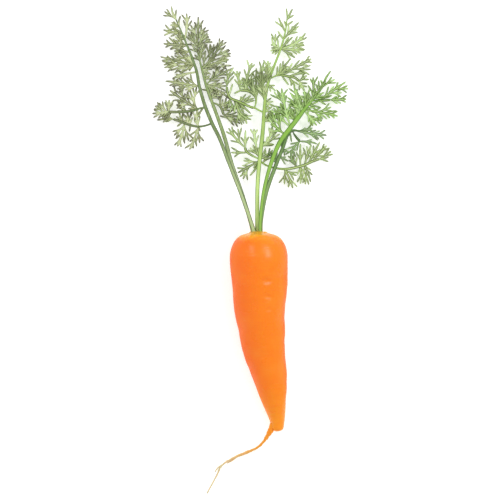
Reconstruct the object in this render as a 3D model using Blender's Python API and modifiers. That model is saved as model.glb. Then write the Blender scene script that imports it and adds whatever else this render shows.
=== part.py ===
"""A carrot as it is picked: a tapering taproot with a thin tail, and five feathery fronds that stand in its crown.

It lies on its side. +Y runs from the root's tip towards the leaves, +X across it and +Z up.
The tables are in millimetres and are turned into metres where a shape is made.
"""

import math
import random

import bmesh
import bpy
from mathutils import Vector

MM = 0.001
UP = Vector((0.0, 0.0, 1.0))

# The middle of the whole object in the tables' own X and Y, which becomes the origin.
MIDDLE_X = 0.14
MIDDLE_Y = 0.56

# The taproot
ROOT_SIDES = 22
ROOT_STEPS = 3
# What would lie lower than this is pressed flat, onto Z 0.
FLAT_BELOW = 0.25
# Along the root, from the collar that the stalks stand in to the blunt end: Y, X and Z of its axis, and its radius.
ROOT_STATIONS = (
    (12.6, 5.2, 18.4, 0.0),
    (12.3, 5.2, 18.4, 4.8),
    (11.1, 5.2, 18.5, 6.6),
    (9.1, 5.4, 18.6, 12.6),
    (5.0, 5.5, 18.5, 16.4),
    (-1.0, 5.7, 18.3, 18.5),
    (-8.0, 5.9, 18.5, 18.8),
    (-24.0, 6.3, 17.4, 17.7),
    (-42.0, 6.7, 15.7, 16.0),
    (-62.0, 8.6, 13.5, 13.8),
    (-80.0, 12.0, 11.4, 11.7),
    (-93.0, 14.3, 10.1, 9.1),
    (-104.0, 16.4, 9.2, 6.4),
    (-112.0, 17.5, 8.7, 4.3),
    (-116.8, 17.6, 8.5, 3.1),
    (-118.3, 17.6, 8.4, 0.0),
)
# The shallow rings that go part of the way round the skin: where they lie along the root, how wide, how deep,
# and which way they face, in degrees from +X towards +Z.
SKIN_RINGS = (
    (-17.5, 3.2, 0.30, 65),
    (-26.0, 3.0, 0.34, 75),
    (-35.0, 3.0, 0.32, 70),
    (-44.0, 3.2, 0.30, 20),
    (-52.0, 3.0, 0.30, 160),
    (-59.0, 3.0, 0.36, 0),
    (-68.0, 3.2, 0.30, 110),
    (-77.0, 2.8, 0.26, 190),
    (-85.0, 2.8, 0.30, 340),
    (-97.0, 2.4, 0.26, 60),
    (-108.0, 2.0, 0.26, 100),
)
RING_SPREAD = math.radians(75)
# Slow swellings of the outline: how far the radius changes, and how many times round.
LUMP_DEPTH = 0.22
LUMP_TURNS = 3
LUMP_LENGTH = 31.0
# From this radius outwards the skin has its full relief.
RELIEF_RADIUS = 8.0

# The tail and its rootlets: X, Y, Z and radius along each
TAIL_STEPS = 2
TAIL = (
    (16.0, -110.5, 8.8, 2.2),
    (14.0, -115.5, 8.5, 1.9),
    (11.8, -119.6, 7.7, 1.35),
    (8.4, -124.8, 5.6, 0.95),
    (3.9, -129.2, 3.2, 0.8),
    (-3.6, -132.5, 1.5, 1.0),
    (-11.7, -136.0, 0.9, 0.68),
    (-18.6, -140.6, 0.75, 0.6),
    (-21.8, -146.0, 0.6, 0.5),
    (-27.6, -157.6, 0.48, 0.42),
)
ROOTLETS = (
    ((-7.2, -133.7, 1.2, 0.5), (-11.0, -136.9, 0.8, 0.42), (-14.8, -139.0, 0.5, 0.36)),
    ((-18.4, -140.2, 0.8, 0.5), (-21.0, -142.0, 0.7, 0.42), (-22.8, -144.6, 0.45, 0.36)),
)

# The fronds
STALK_STEPS = 2
SOCKET_GAP = 0.38
SOCKET_TO_Y = 24.0
BLADE_THICKNESS = 0.7
RIB_HALF_WIDTH = 0.45
PALM_HALF_WIDTH = 0.75
LOBE_HALF_WIDTH = 0.6
NODE_LENGTH = 1.4
RIB_STEP = 7.0
# A pinna's side branches, its pinnules, lean forwards by this angle where the midrib is long enough. Each hangs or
# rises by up to this share of its length beside the midrib's own slope.
PINNULE_ANGLE = math.radians(38)
PINNULE_DROOP = 0.1
FIRST_NODE = 1.0
LAST_NODE = 1.0
NODE_GAP = 0.3
# A branch no longer than this is one plain lobe. A longer one forks in pairs.
LONGEST_LOBE = 7.6
FORK_SPACING = 5.0
FORK_ANGLE = math.radians(40)
FORK_SHARE = 0.5
END_LOBE = 3.2
LENGTH_SPREAD = 0.14
ANGLE_SPREAD = math.radians(5)
PITCH_SPREAD = math.radians(6)
LOWEST_LEAF = 0.46

# Each frond: its stalks as X, Y, Z and radius, first the main one from the crown to the tip, then the bare ribs that
# leave it. A pinna has the X and Y where it leaves the nearest stalk, how far it bows to its left, its tip, and the
# X and Y of its pinnules' tips.
FRONDS = {
    "frond_left_front": {
        "stalks": (
            (
                (3.0, 8.6, 21.0, 1.25), (1.6, 15.0, 21.2, 1.3), (-5.2, 35.0, 20.2, 1.25), (-13.3, 55.6, 17.8, 1.2),
                (-19.8, 72.5, 15.0, 1.2), (-24.7, 82.4, 13.4, 1.2), (-29.4, 94.1, 11.8, 1.15),
                (-32.9, 106.3, 10.4, 1.05), (-34.6, 115.7, 9.2, 0.95), (-37.7, 125.2, 8.0, 0.82),
                (-40.9, 133.0, 7.0, 0.7), (-44.2, 141.0, 6.0, 0.56), (-48.2, 150.0, 4.8, 0.42),
            ),
            (
                (-28.7, 92.5, 12.0, 0.6), (-32.2, 92.2, 11.4, 0.6), (-36.1, 90.8, 10.4, 0.55),
                (-41.3, 90.0, 9.2, 0.5), (-47.8, 89.7, 7.8, 0.45), (-53.0, 90.0, 6.6, 0.42),
            ),
            (
                (-25.0, 82.1, 13.3, 0.6), (-28.9, 80.8, 11.6, 0.6), (-33.5, 80.1, 9.8, 0.55),
                (-38.7, 81.2, 8.2, 0.5), (-42.6, 82.5, 7.0, 0.48), (-45.8, 83.9, 6.0, 0.45),
                (-50.1, 85.2, 4.8, 0.42),
            ),
        ),
        "pinnae": (
            (-48.2, 150.0, 0.3, (-51.7, 158.3, 3.6), ((-55.6, 155.0),)),
            (-46.3, 145.0, 0.5, (-46.1, 152.4, 5.0), ()),
            (-46.1, 144.6, 0.0, (-51.0, 147.9, 4.6), ()),
            (-45.2, 142.0, 0.0, (-50.5, 145.1, 4.8), ()),
            (-44.5, 141.5, 0.4, (-56.2, 143.3, 3.6), ((-55.4, 146.4), (-51.5, 139.4))),
            (-43.2, 138.5, -0.8, (-41.3, 153.7, 5.2), ((-43.2, 149.5), (-39.1, 152.2), (-38.0, 149.2))),
            (-40.4, 131.3, 0.0, (-56.0, 134.2, 4.2), (
                (-53.0, 138.1), (-48.4, 138.8), (-50.0, 137.2), (-46.1, 137.5), (-54.9, 132.1), (-51.4, 130.3),
            )),
            (-40.1, 130.7, 0.3, (-48.9, 129.5, 4.4), ((-48.9, 127.6), (-44.3, 127.6))),
            (-35.9, 119.7, 0.6, (-40.6, 127.1, 7.6), ((-43.0, 126.9),)),
            (-35.7, 119.3, 0.2, (-58.2, 125.8, 4.4), (
                (-46.5, 129.3), (-51.0, 126.2), (-54.0, 126.2), (-57.2, 123.3), (-55.9, 120.6), (-55.6, 118.6),
                (-51.5, 116.8), (-48.1, 116.9),
            )),
            (-35.0, 118.0, -0.6, (-50.4, 111.8, 3.4), ((-48.1, 114.3), (-44.8, 111.5))),
            (-33.3, 106.3, 0.0, (-54.7, 110.2, 3.8), (
                (-41.1, 112.3), (-43.9, 111.8), (-46.3, 111.8), (-49.9, 111.3), (-52.3, 107.2), (-50.4, 106.1),
                (-47.1, 104.7), (-41.9, 104.0),
            )),
            (-35.1, 91.5, 0.3, (-51.7, 103.7, 3.0), (
                (-52.8, 101.1), (-49.7, 97.7), (-47.6, 94.6), (-45.8, 104.7), (-43.2, 100.8), (-39.6, 105.0),
            )),
            (-52.0, 90.0, 0.0, (-52.6, 97.4, 4.8), ((-54.9, 97.3), (-50.2, 95.2))),
            (-53.0, 90.0, 0.2, (-63.2, 88.9, 2.6), ((-59.3, 95.9), (-61.6, 93.9), (-62.4, 91.3))),
            (-42.6, 89.9, 0.2, (-47.5, 94.4, 6.2), ((-46.9, 92.6), (-43.2, 94.6))),
            (-38.4, 90.4, 0.0, (-36.5, 95.5, 8.6), ()),
            (-50.1, 85.2, -0.2, (-60.5, 85.0, 2.2), ((-58.2, 88.3), (-54.3, 88.5))),
            (-43.9, 83.1, 0.0, (-47.1, 80.5, 4.0), ()),
            (-40.0, 81.6, 0.0, (-40.4, 89.5, 8.0), ((-43.2, 88.4), (-38.0, 88.7))),
            (-32.4, 80.3, 0.8, (-34.4, 91.0, 9.6), ((-36.1, 83.9), (-32.2, 89.4))),
            (-42.6, 82.5, 0.5, (-47.1, 67.9, 2.4), ((-49.5, 74.9), (-49.2, 68.6), (-42.6, 69.4), (-40.0, 71.2))),
            (-33.6, 80.1, 0.3, (-39.0, 65.8, 2.0), ((-38.9, 74.7), (-37.0, 66.4), (-34.8, 67.7), (-32.6, 69.9))),
            (-38.4, 81.1, 0.0, (-39.6, 77.4, 6.0), ()),
            (-33.0, 80.1, 0.0, (-32.4, 77.5, 8.0), ()),
        ),
    },
    "frond_left_back": {
        "stalks": (
            (
                (2.0, 8.6, 15.4, 1.2), (1.2, 15.0, 15.4, 1.3), (-4.7, 35.0, 14.0, 1.3), (-11.7, 55.6, 11.3, 1.3),
                (-17.0, 74.6, 8.2, 1.25), (-23.1, 91.9, 5.4, 1.1), (-27.6, 104.0, 3.9, 0.95),
                (-29.6, 111.0, 3.4, 0.85), (-31.4, 118.0, 3.0, 0.7), (-34.0, 128.6, 2.3, 0.55),
                (-34.8, 135.0, 2.0, 0.45),
            ),
            (
                (-28.6, 107.6, 3.7, 0.5), (-24.4, 111.8, 3.2, 0.5), (-22.1, 115.4, 2.8, 0.45),
                (-20.9, 118.3, 2.5, 0.42), (-19.2, 119.5, 2.3, 0.4),
            ),
            (
                (-24.7, 96.2, 4.6, 0.55), (-22.1, 95.2, 3.9, 0.5), (-19.6, 93.9, 3.3, 0.48),
                (-18.1, 91.0, 2.8, 0.45), (-17.2, 88.1, 2.4, 0.42),
            ),
        ),
        "pinnae": (
            (-34.4, 132.9, 0.0, (-33.5, 151.8, 1.6), (
                (-36.1, 148.5), (-38.5, 146.4), (-40.4, 142.0), (-30.2, 149.6), (-29.1, 145.1), (-27.9, 141.6),
            )),
            (-33.9, 131.0, 0.0, (-26.1, 137.2, 1.8), ((-29.6, 142.0), (-27.0, 138.8), (-27.9, 133.6))),
            (-34.3, 131.6, 0.0, (-38.5, 142.0, 2.2), ((-40.6, 138.1), (-36.7, 144.6), (-41.0, 134.2))),
            (-32.5, 124.5, 0.3, (-30.2, 135.5, 2.2), ((-33.1, 131.6), (-28.1, 133.4), (-28.9, 129.7))),
            (-31.7, 120.6, -1.0, (-17.6, 136.7, 2.0), (
                (-29.1, 129.7), (-26.0, 133.8), (-23.7, 133.9), (-21.1, 134.9), (-13.8, 130.7), (-15.3, 135.3),
            )),
            (-31.5, 119.6, 0.6, (-14.2, 124.1, 1.8), (
                (-16.7, 127.1), (-21.8, 127.4), (-15.3, 122.4), (-18.2, 122.7),
            )),
            (-19.2, 119.5, 0.2, (-12.3, 120.6, 1.6), ((-17.1, 121.5), (-15.3, 118.0))),
            (-22.6, 114.4, 0.0, (-24.1, 116.3, 2.4), ()),
            (-21.0, 118.0, 0.2, (-25.7, 121.1, 2.0), ((-24.2, 122.3), (-20.5, 122.0), (-25.4, 118.8))),
            (-30.2, 113.4, 0.0, (-26.6, 118.3, 2.6), ((-29.6, 117.7), (-26.3, 115.0))),
            (-29.4, 110.8, 0.0, (-26.5, 113.4, 3.0), ((-28.9, 114.7),)),
            (-19.6, 93.9, -2.4, (-25.8, 106.5, 2.2), ((-18.3, 102.2), (-23.9, 101.1))),
            (-17.2, 88.1, 0.4, (-10.5, 81.4, 1.4), ((-12.3, 88.7), (-19.3, 87.4))),
            (-18.5, 91.7, 0.0, (-12.5, 93.7, 2.2), ((-12.8, 90.7),)),
            (-28.1, 105.6, 0.0, (-30.9, 104.3, 3.8), ()),
            (-31.9, 121.5, 0.0, (-35.8, 127.1, 2.2), ((-32.6, 127.6),)),
        ),
    },
    "frond_middle": {
        "stalks": (
            (
                (5.0, 8.6, 17.8, 1.3), (4.8, 22.8, 17.8, 1.35), (4.9, 42.0, 15.8, 1.3), (6.2, 58.0, 13.4, 1.35),
                (8.2, 76.0, 11.2, 1.3), (9.2, 90.0, 9.9, 1.15), (10.4, 102.0, 9.0, 1.0), (13.4, 113.6, 7.9, 0.85),
                (20.0, 131.0, 6.0, 0.68), (23.0, 142.0, 4.8, 0.5), (24.0, 149.6, 3.8, 0.42),
            ),
            (
                (6.5, 57.7, 13.2, 0.6), (10.1, 55.3, 11.2, 0.6), (14.6, 53.6, 9.0, 0.6), (19.8, 52.8, 6.6, 0.58),
                (25.0, 52.8, 4.8, 0.55), (30.2, 53.9, 3.6, 0.5), (35.4, 55.3, 2.9, 0.48), (40.6, 57.8, 2.3, 0.45),
                (45.2, 59.3, 1.8, 0.42),
            ),
            (
                (6.4, 59.1, 13.3, 0.6), (2.9, 60.5, 12.3, 0.55), (-0.3, 62.4, 11.1, 0.5), (-2.6, 64.4, 10.2, 0.48),
                (-3.1, 66.6, 9.6, 0.45),
            ),
            (
                (9.0, 89.4, 9.9, 0.6), (5.5, 91.0, 9.5, 0.58), (2.9, 92.5, 9.1, 0.55), (-1.0, 93.5, 8.5, 0.55),
                (-4.9, 95.4, 7.9, 0.52), (-8.8, 97.2, 7.3, 0.5), (-12.7, 98.7, 6.7, 0.48),
                (-14.6, 102.0, 6.2, 0.45), (-15.1, 106.3, 5.8, 0.42),
            ),
            (
                (2.9, 92.5, 9.1, 0.5), (4.0, 96.5, 8.9, 0.5), (3.4, 99.8, 8.6, 0.5), (0.3, 102.8, 8.3, 0.48),
                (-2.9, 103.7, 8.0, 0.45), (-6.2, 103.7, 7.6, 0.42),
            ),
            (
                (13.8, 111.8, 7.9, 0.5), (16.9, 113.4, 7.5, 0.5), (20.5, 113.9, 6.8, 0.48),
                (25.0, 112.9, 6.0, 0.45), (29.2, 112.3, 5.2, 0.42), (31.9, 109.9, 4.6, 0.4),
            ),
        ),
        "pinnae": (
            (-3.1, 66.3, 0.8, (-13.8, 79.1, 7.6), ((-15.3, 76.9), (-11.8, 80.0), (-7.7, 78.8))),
            (-3.1, 66.3, 0.0, (-3.1, 77.7, 8.2), ((-5.8, 73.4), (-1.1, 73.5))),
            (-2.0, 63.7, 0.0, (-12.0, 63.2, 8.6), ((-12.0, 66.6),)),
            (6.4, 60.1, 0.8, (2.7, 78.2, 10.4), ((0.3, 73.5), (4.7, 78.1), (0.1, 66.2))),
            (6.6, 60.8, 0.0, (3.3, 67.0, 12.4), ((5.3, 66.3), (1.9, 64.3))),
            (6.3, 57.5, -0.3, (-7.6, 50.2, 8.6), ((-4.2, 57.9), (-8.3, 53.1), (-4.5, 46.3))),
            (6.0, 56.6, 0.3, (0.3, 48.3, 9.6), ()),
            (7.2, 63.4, -2.0, (14.6, 80.1, 12.2), (
                (11.4, 73.5), (9.6, 70.2), (13.2, 79.0), (16.9, 77.7), (18.2, 79.5), (19.0, 75.4),
            )),
            (7.1, 62.4, 0.0, (13.1, 63.1, 12.0), ((10.4, 65.8),)),
            (22.9, 52.5, 0.5, (28.0, 40.4, 2.2), ((22.3, 43.2), (25.0, 40.9), (30.6, 41.1), (30.0, 48.3))),
            (34.1, 54.8, 0.3, (33.0, 43.5, 1.8), ((30.6, 44.4), (36.9, 48.4))),
            (45.2, 59.3, 0.0, (51.0, 60.4, 1.4), ((52.8, 64.3),)),
            (41.3, 58.0, 0.0, (49.7, 67.9, 2.8), ((48.4, 69.1), (51.2, 66.2))),
            (38.0, 56.6, 0.0, (45.4, 70.1, 2.2), ((41.3, 67.9), (47.5, 64.0))),
            (35.1, 55.2, 0.0, (39.7, 68.3, 2.2), ((35.1, 66.6), (39.2, 64.3), (38.7, 61.4))),
            (33.1, 54.6, 0.0, (32.6, 68.9, 3.6), ((35.8, 64.7), (30.0, 63.4))),
            (30.9, 54.1, 0.0, (26.7, 62.4, 3.4), ((28.6, 64.0), (30.4, 60.1))),
            (-15.1, 106.3, 1.0, (-11.2, 118.9, 5.2), ((-16.7, 111.8), (-15.1, 116.0), (-10.6, 113.2))),
            (-14.0, 100.8, 0.0, (-11.4, 107.9, 6.0), ()),
            (-6.8, 96.3, 0.0, (-2.8, 101.1, 7.6), ((-5.9, 99.6),)),
            (-4.2, 95.1, 0.0, (0.3, 100.3, 8.4), ((-2.3, 98.6),)),
            (-4.2, 95.1, 0.0, (2.8, 97.2, 8.2), ()),
            (-3.9, 94.9, 0.0, (1.8, 92.2, 7.6), ()),
            (-8.1, 96.9, 0.0, (0.2, 89.0, 6.4), ((-4.1, 88.6),)),
            (-9.4, 97.4, -3.0, (0.7, 84.8, 5.2), ((1.6, 87.4), (-3.7, 82.6), (-5.5, 81.6), (-10.4, 89.4))),
            (-13.0, 98.9, 0.0, (-14.0, 92.6, 5.0), ((-10.7, 90.7),)),
            (-2.3, 103.5, 0.8, (1.2, 121.5, 9.4), (
                (2.9, 120.4), (-3.7, 117.5), (3.2, 116.7), (-4.7, 111.9), (3.6, 112.8),
            )),
            (-5.9, 103.7, 0.0, (-8.4, 116.3, 7.4), ((-6.4, 115.9), (-10.1, 110.8))),
            (-5.5, 103.7, 0.0, (-10.1, 102.0, 7.2), ()),
            (3.5, 99.8, 0.0, (1.3, 110.8, 9.2), ((-0.5, 107.6), (4.1, 108.9), (5.5, 104.3))),
            (9.8, 99.1, 0.8, (6.8, 119.3, 9.2), (
                (4.4, 116.7), (3.1, 113.1), (3.6, 107.6), (8.9, 121.7), (10.4, 115.4),
            )),
            (11.8, 107.6, 0.0, (11.6, 122.8, 8.8), ((13.1, 121.7), (9.1, 118.0), (14.8, 119.6), (9.3, 112.8))),
            (9.4, 97.8, 0.0, (13.8, 98.5, 9.0), ()),
            (20.8, 113.9, 0.0, (39.7, 124.3, 4.6), (
                (27.5, 121.4), (32.0, 123.6), (34.5, 123.0), (40.0, 122.3), (39.3, 117.3),
            )),
            (17.6, 113.6, 0.0, (26.1, 124.0, 5.4), ((17.9, 119.3), (20.0, 121.5), (21.8, 122.9), (24.7, 119.3))),
            (25.0, 112.9, 0.0, (34.5, 116.0, 4.8), ((35.8, 115.0),)),
            (20.5, 113.7, 0.0, (24.8, 107.6, 5.6), ()),
            (25.0, 112.6, 0.0, (29.2, 106.9, 4.6), ((27.0, 107.2),)),
            (31.8, 109.9, 0.0, (36.7, 113.4, 4.2), ((35.6, 115.6),)),
            (31.9, 109.9, 0.0, (35.4, 103.7, 3.6), ((37.1, 108.5), (32.5, 105.6), (36.9, 106.3))),
            (19.8, 129.3, 1.6, (13.5, 138.1, 6.4), ((16.6, 140.3), (18.1, 137.2), (13.8, 133.6))),
            (19.8, 129.0, 0.0, (13.6, 129.7, 6.0), ((14.1, 131.6), (14.6, 127.9), (16.3, 127.3))),
            (20.5, 130.1, 0.0, (34.8, 129.9, 3.8), ((33.9, 131.6), (32.6, 128.1), (30.6, 127.6))),
            (20.7, 130.7, 0.0, (27.5, 138.6, 5.6), ((23.9, 134.2), (25.0, 138.5))),
            (20.6, 130.3, -1.8, (36.5, 141.0, 3.6), ((30.7, 139.2), (32.8, 138.8), (36.9, 138.1), (35.3, 133.2))),
            (20.1, 128.6, 0.0, (29.3, 125.4, 4.4), ((27.6, 127.7), (26.3, 123.8))),
            (24.1, 149.5, 0.0, (27.6, 157.0, 2.4), ((23.7, 157.2),)),
            (23.7, 145.3, 0.0, (27.9, 149.0, 3.2), ()),
            (23.5, 144.6, 0.0, (22.6, 148.8, 3.8), ()),
            (22.2, 140.1, 0.0, (18.5, 151.1, 4.0), ((16.6, 149.0), (21.3, 145.8))),
            (22.0, 139.4, 0.0, (18.0, 142.3, 4.4), ()),
            (22.0, 138.1, 0.0, (31.5, 148.3, 3.8), ((27.6, 145.3), (26.3, 143.0), (31.5, 145.6), (30.9, 142.3))),
            (8.8, 83.5, 0.0, (19.2, 88.4, 10.6), ((12.0, 88.7), (15.0, 90.4), (15.9, 83.5))),
            (9.8, 96.5, 0.0, (16.4, 93.1, 9.0), ((12.7, 92.0),)),
            (9.0, 88.7, 0.0, (14.0, 93.0, 9.6), ((11.1, 93.6),)),
        ),
    },
    "frond_right_front": {
        "stalks": (
            (
                (6.6, 8.6, 21.4, 1.3), (6.6, 20.0, 21.9, 1.4), (8.6, 38.0, 20.9, 1.45), (13.5, 55.6, 18.9, 1.45),
                (19.2, 69.6, 16.8, 1.5), (26.4, 79.5, 15.2, 1.6), (32.4, 87.4, 13.4, 1.5),
                (35.0, 91.0, 12.6, 1.25), (38.0, 94.6, 11.6, 1.05), (41.3, 98.4, 10.6, 0.9),
                (44.4, 102.0, 9.4, 0.7), (47.1, 105.8, 8.2, 0.5),
            ),
            (
                (41.9, 98.6, 10.6, 0.55), (44.5, 98.7, 9.8, 0.5), (47.5, 99.0, 8.8, 0.48),
                (52.3, 100.2, 7.4, 0.42),
            ),
            (
                (40.0, 96.9, 10.9, 0.55), (43.2, 97.2, 9.4, 0.5), (47.1, 97.2, 7.8, 0.48), (52.3, 97.7, 6.2, 0.42),
            ),
        ),
        "pinnae": (
            (47.1, 105.6, 0.6, (52.3, 116.5, 6.2), ((54.9, 111.0),)),
            (44.5, 101.7, 0.0, (44.8, 109.9, 9.6), ((42.7, 107.8),)),
            (45.8, 103.7, 0.0, (49.4, 110.5, 8.6), ((46.9, 109.2),)),
            (41.0, 97.6, 0.0, (41.1, 111.9, 10.4), ((39.2, 111.0), (37.6, 106.9), (42.6, 105.0))),
            (47.5, 99.0, 0.2, (62.3, 109.3, 5.4), ((51.2, 105.9), (54.3, 106.5), (63.8, 105.0), (59.5, 102.4))),
            (52.3, 97.7, 0.0, (62.4, 98.2, 4.8), ((58.0, 99.8), (62.2, 96.3), (56.7, 95.0))),
            (45.5, 97.2, 0.0, (49.3, 94.4, 7.4), ()),
            (35.8, 91.7, 0.5, (56.9, 87.2, 5.0), (
                (52.5, 92.9), (56.0, 90.7), (54.9, 85.9), (51.9, 86.0), (50.0, 85.3), (47.1, 85.2),
            )),
            (35.0, 90.7, 0.0, (43.2, 81.2, 6.0), ((46.7, 84.2), (43.6, 84.4), (41.0, 80.9), (38.3, 83.3))),
            (36.1, 92.3, 0.0, (35.2, 103.4, 12.2), ((32.5, 100.4), (30.9, 96.5), (38.3, 102.4), (38.9, 98.5))),
            (38.7, 95.2, 0.0, (45.8, 92.6, 8.6), ((43.9, 96.2), (43.2, 90.7))),
            (33.5, 89.0, 0.0, (28.5, 106.3, 12.6), (
                (26.0, 102.4), (30.6, 104.3), (26.3, 96.5), (31.5, 97.8), (24.6, 99.1),
            )),
            (25.4, 79.0, 0.6, (20.5, 104.7, 12.8), (
                (15.5, 102.4), (16.6, 93.3), (24.1, 104.3), (22.6, 100.4), (25.3, 93.3),
            )),
            (22.8, 76.4, 0.6, (12.0, 85.2, 13.4), ((14.6, 88.7), (17.9, 87.4), (13.7, 81.6))),
            (28.9, 83.9, 0.0, (27.0, 91.3, 13.4), ((25.0, 88.1), (29.2, 91.3))),
        ),
    },
    "frond_right_back": {
        "stalks": (
            (
                (7.6, 8.6, 15.1, 1.2), (8.0, 20.0, 15.4, 1.3), (11.2, 38.0, 14.6, 1.3), (17.0, 55.6, 12.6, 1.25),
                (20.8, 65.0, 11.2, 1.2), (24.3, 74.6, 9.4, 1.1), (27.6, 77.6, 8.3, 0.85), (32.0, 77.5, 7.0, 0.6),
                (37.0, 77.6, 5.6, 0.45),
            ),
            (
                (27.9, 76.7, 8.2, 0.5), (29.9, 73.5, 7.2, 0.5), (32.5, 70.7, 6.2, 0.45),
            ),
        ),
        "pinnae": (
            (32.8, 77.2, 0.0, (40.2, 79.1, 4.4), ((35.8, 79.4), (40.8, 77.5))),
            (30.2, 77.0, -0.4, (49.6, 74.9, 2.8), ((45.2, 77.7), (48.2, 72.5), (44.2, 71.6), (38.0, 73.5))),
            (32.5, 70.7, 0.3, (43.7, 69.5, 5.6), ((39.6, 68.4), (40.0, 71.8))),
            (32.5, 70.7, -3.6, (28.5, 54.5, 6.6), ((26.5, 68.7), (29.2, 64.7), (29.9, 60.8))),
            (17.9, 59.1, 0.0, (24.8, 57.7, 10.8), ((23.1, 60.3),)),
            (17.6, 58.2, 0.0, (14.5, 63.1, 12.8), ((16.2, 64.0), (14.0, 59.5))),
            (26.0, 76.0, 0.0, (27.0, 70.5, 8.0), ()),
        ),
    },
}

# Base colour, roughness
ROOT_COLOUR = (1.0, 0.30, 0.045)
LEAF_COLOURS = {
    "frond_left_front": (0.20, 0.27, 0.09),
    "frond_left_back": (0.18, 0.25, 0.08),
    "frond_middle": (0.24, 0.38, 0.10),
    "frond_right_front": (0.20, 0.42, 0.06),
    "frond_right_back": (0.12, 0.27, 0.06),
}


def place(x, y, z):
    """A point of the tables, in metres from the object's origin."""
    return Vector((x - MIDDLE_X, y - MIDDLE_Y, z)) * MM


def smooth(stations, steps):
    """Rows read off a Catmull-Rom curve through the given rows, with this many steps between two of them."""
    rows = [Vector(s) for s in stations]
    rows = [2 * rows[0] - rows[1], *rows, 2 * rows[-1] - rows[-2]]
    found = []
    for a, b, c, d in zip(rows, rows[1:], rows[2:], rows[3:]):
        for i in range(steps):
            t = i / steps
            found.append(
                0.5 * (2 * b + (c - a) * t + (2 * a - 5 * b + 4 * c - d) * t**2 + (3 * b - a - 3 * c + d) * t**3)
            )
    return [*found, rows[-2]]


def painted(obj, name, colour, roughness):
    """Gives an object its own plain material."""
    material = bpy.data.materials.new(name)
    material.use_nodes = True
    shader = material.node_tree.nodes["Principled BSDF"]
    shader.inputs["Base Color"].default_value = (*colour, 1.0)
    shader.inputs["Roughness"].default_value = roughness
    shader.inputs["Metallic"].default_value = 0.0
    obj.data.materials.clear()
    obj.data.materials.append(material)


def mesh_object(name, mesh, collection):
    obj = bpy.data.objects.new(name, mesh)
    collection.objects.link(obj)
    return obj


def evaluated_mesh(obj):
    """The mesh of an object with its modifiers applied."""
    bpy.context.view_layer.update()
    graph = bpy.context.evaluated_depsgraph_get()
    return bpy.data.meshes.new_from_object(obj.evaluated_get(graph))


def tube(name, rows, roundness, collection, extra=0.0):
    """A tube along rows of X, Y, Z and radius, as a closed mesh, with four sides and two more for each roundness."""
    curve = bpy.data.curves.new(name, "CURVE")
    curve.dimensions = "3D"
    curve.bevel_depth = MM
    curve.bevel_resolution = roundness
    curve.use_fill_caps = True
    spline = curve.splines.new("POLY")
    spline.points.add(len(rows) - 1)
    for point, row in zip(spline.points, rows):
        point.co = (*place(*row[:3]), 1.0)
        point.radius = row[3] + extra
    guide = bpy.data.objects.new(name + "_guide", curve)
    collection.objects.link(guide)
    mesh = evaluated_mesh(guide)
    bpy.data.objects.remove(guide)
    body = bmesh.new()
    body.from_mesh(mesh)
    bmesh.ops.remove_doubles(body, verts=body.verts, dist=0.00001)
    bmesh.ops.recalc_face_normals(body, faces=body.faces)
    body.to_mesh(mesh)
    body.free()
    return mesh_object(name, mesh, collection)


def keep_largest(mesh):
    """Keeps a mesh's largest connected surface, so that a hollow sealed by fusing is filled and a loose scrap goes."""
    body = bmesh.new()
    body.from_mesh(mesh)
    unseen = set(body.verts)
    surfaces = []
    while unseen:
        surface = [unseen.pop()]
        for vertex in surface:
            reached = {edge.other_vert(vertex) for edge in vertex.link_edges} & unseen
            unseen -= reached
            surface.extend(reached)
        surfaces.append(surface)
    surfaces.sort(key=len)
    bmesh.ops.delete(body, geom=[vertex for surface in surfaces[:-1] for vertex in surface], context="VERTS")
    body.to_mesh(mesh)
    body.free()


def fuse(obj, helpers, operation):
    """Joins or cuts an object with every object of a collection, then removes that collection's objects."""
    boolean = obj.modifiers.new(operation.lower(), "BOOLEAN")
    boolean.operation = operation
    boolean.operand_type = "COLLECTION"
    boolean.collection = helpers
    boolean.solver = "EXACT"
    boolean.use_self = operation == "UNION"
    obj.data = evaluated_mesh(obj)
    obj.modifiers.clear()
    keep_largest(obj.data)
    for helper in list(helpers.objects):
        bpy.data.objects.remove(helper)
    bpy.data.collections.remove(helpers)


def helper_collection(name):
    """A collection for pieces that are fused into, or cut from, another."""
    collection = bpy.data.collections.new(name)
    bpy.context.scene.collection.children.link(collection)
    return collection


def skin_relief(y, angle):
    """How far the root's skin stands out at a place along and round it, from its rings and slow swellings."""
    relief = LUMP_DEPTH * math.sin(LUMP_TURNS * angle + 2 * math.pi * y / LUMP_LENGTH)
    relief += 0.6 * LUMP_DEPTH * math.sin(2 * angle - 2 * math.pi * y / (1.7 * LUMP_LENGTH))
    for centre, width, depth, facing in SKIN_RINGS:
        turn = (angle - math.radians(facing) + math.pi) % (2 * math.pi) - math.pi
        relief -= depth * math.exp(-((turn / RING_SPREAD) ** 2) - ((y - centre) / width) ** 2)
    return relief


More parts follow.
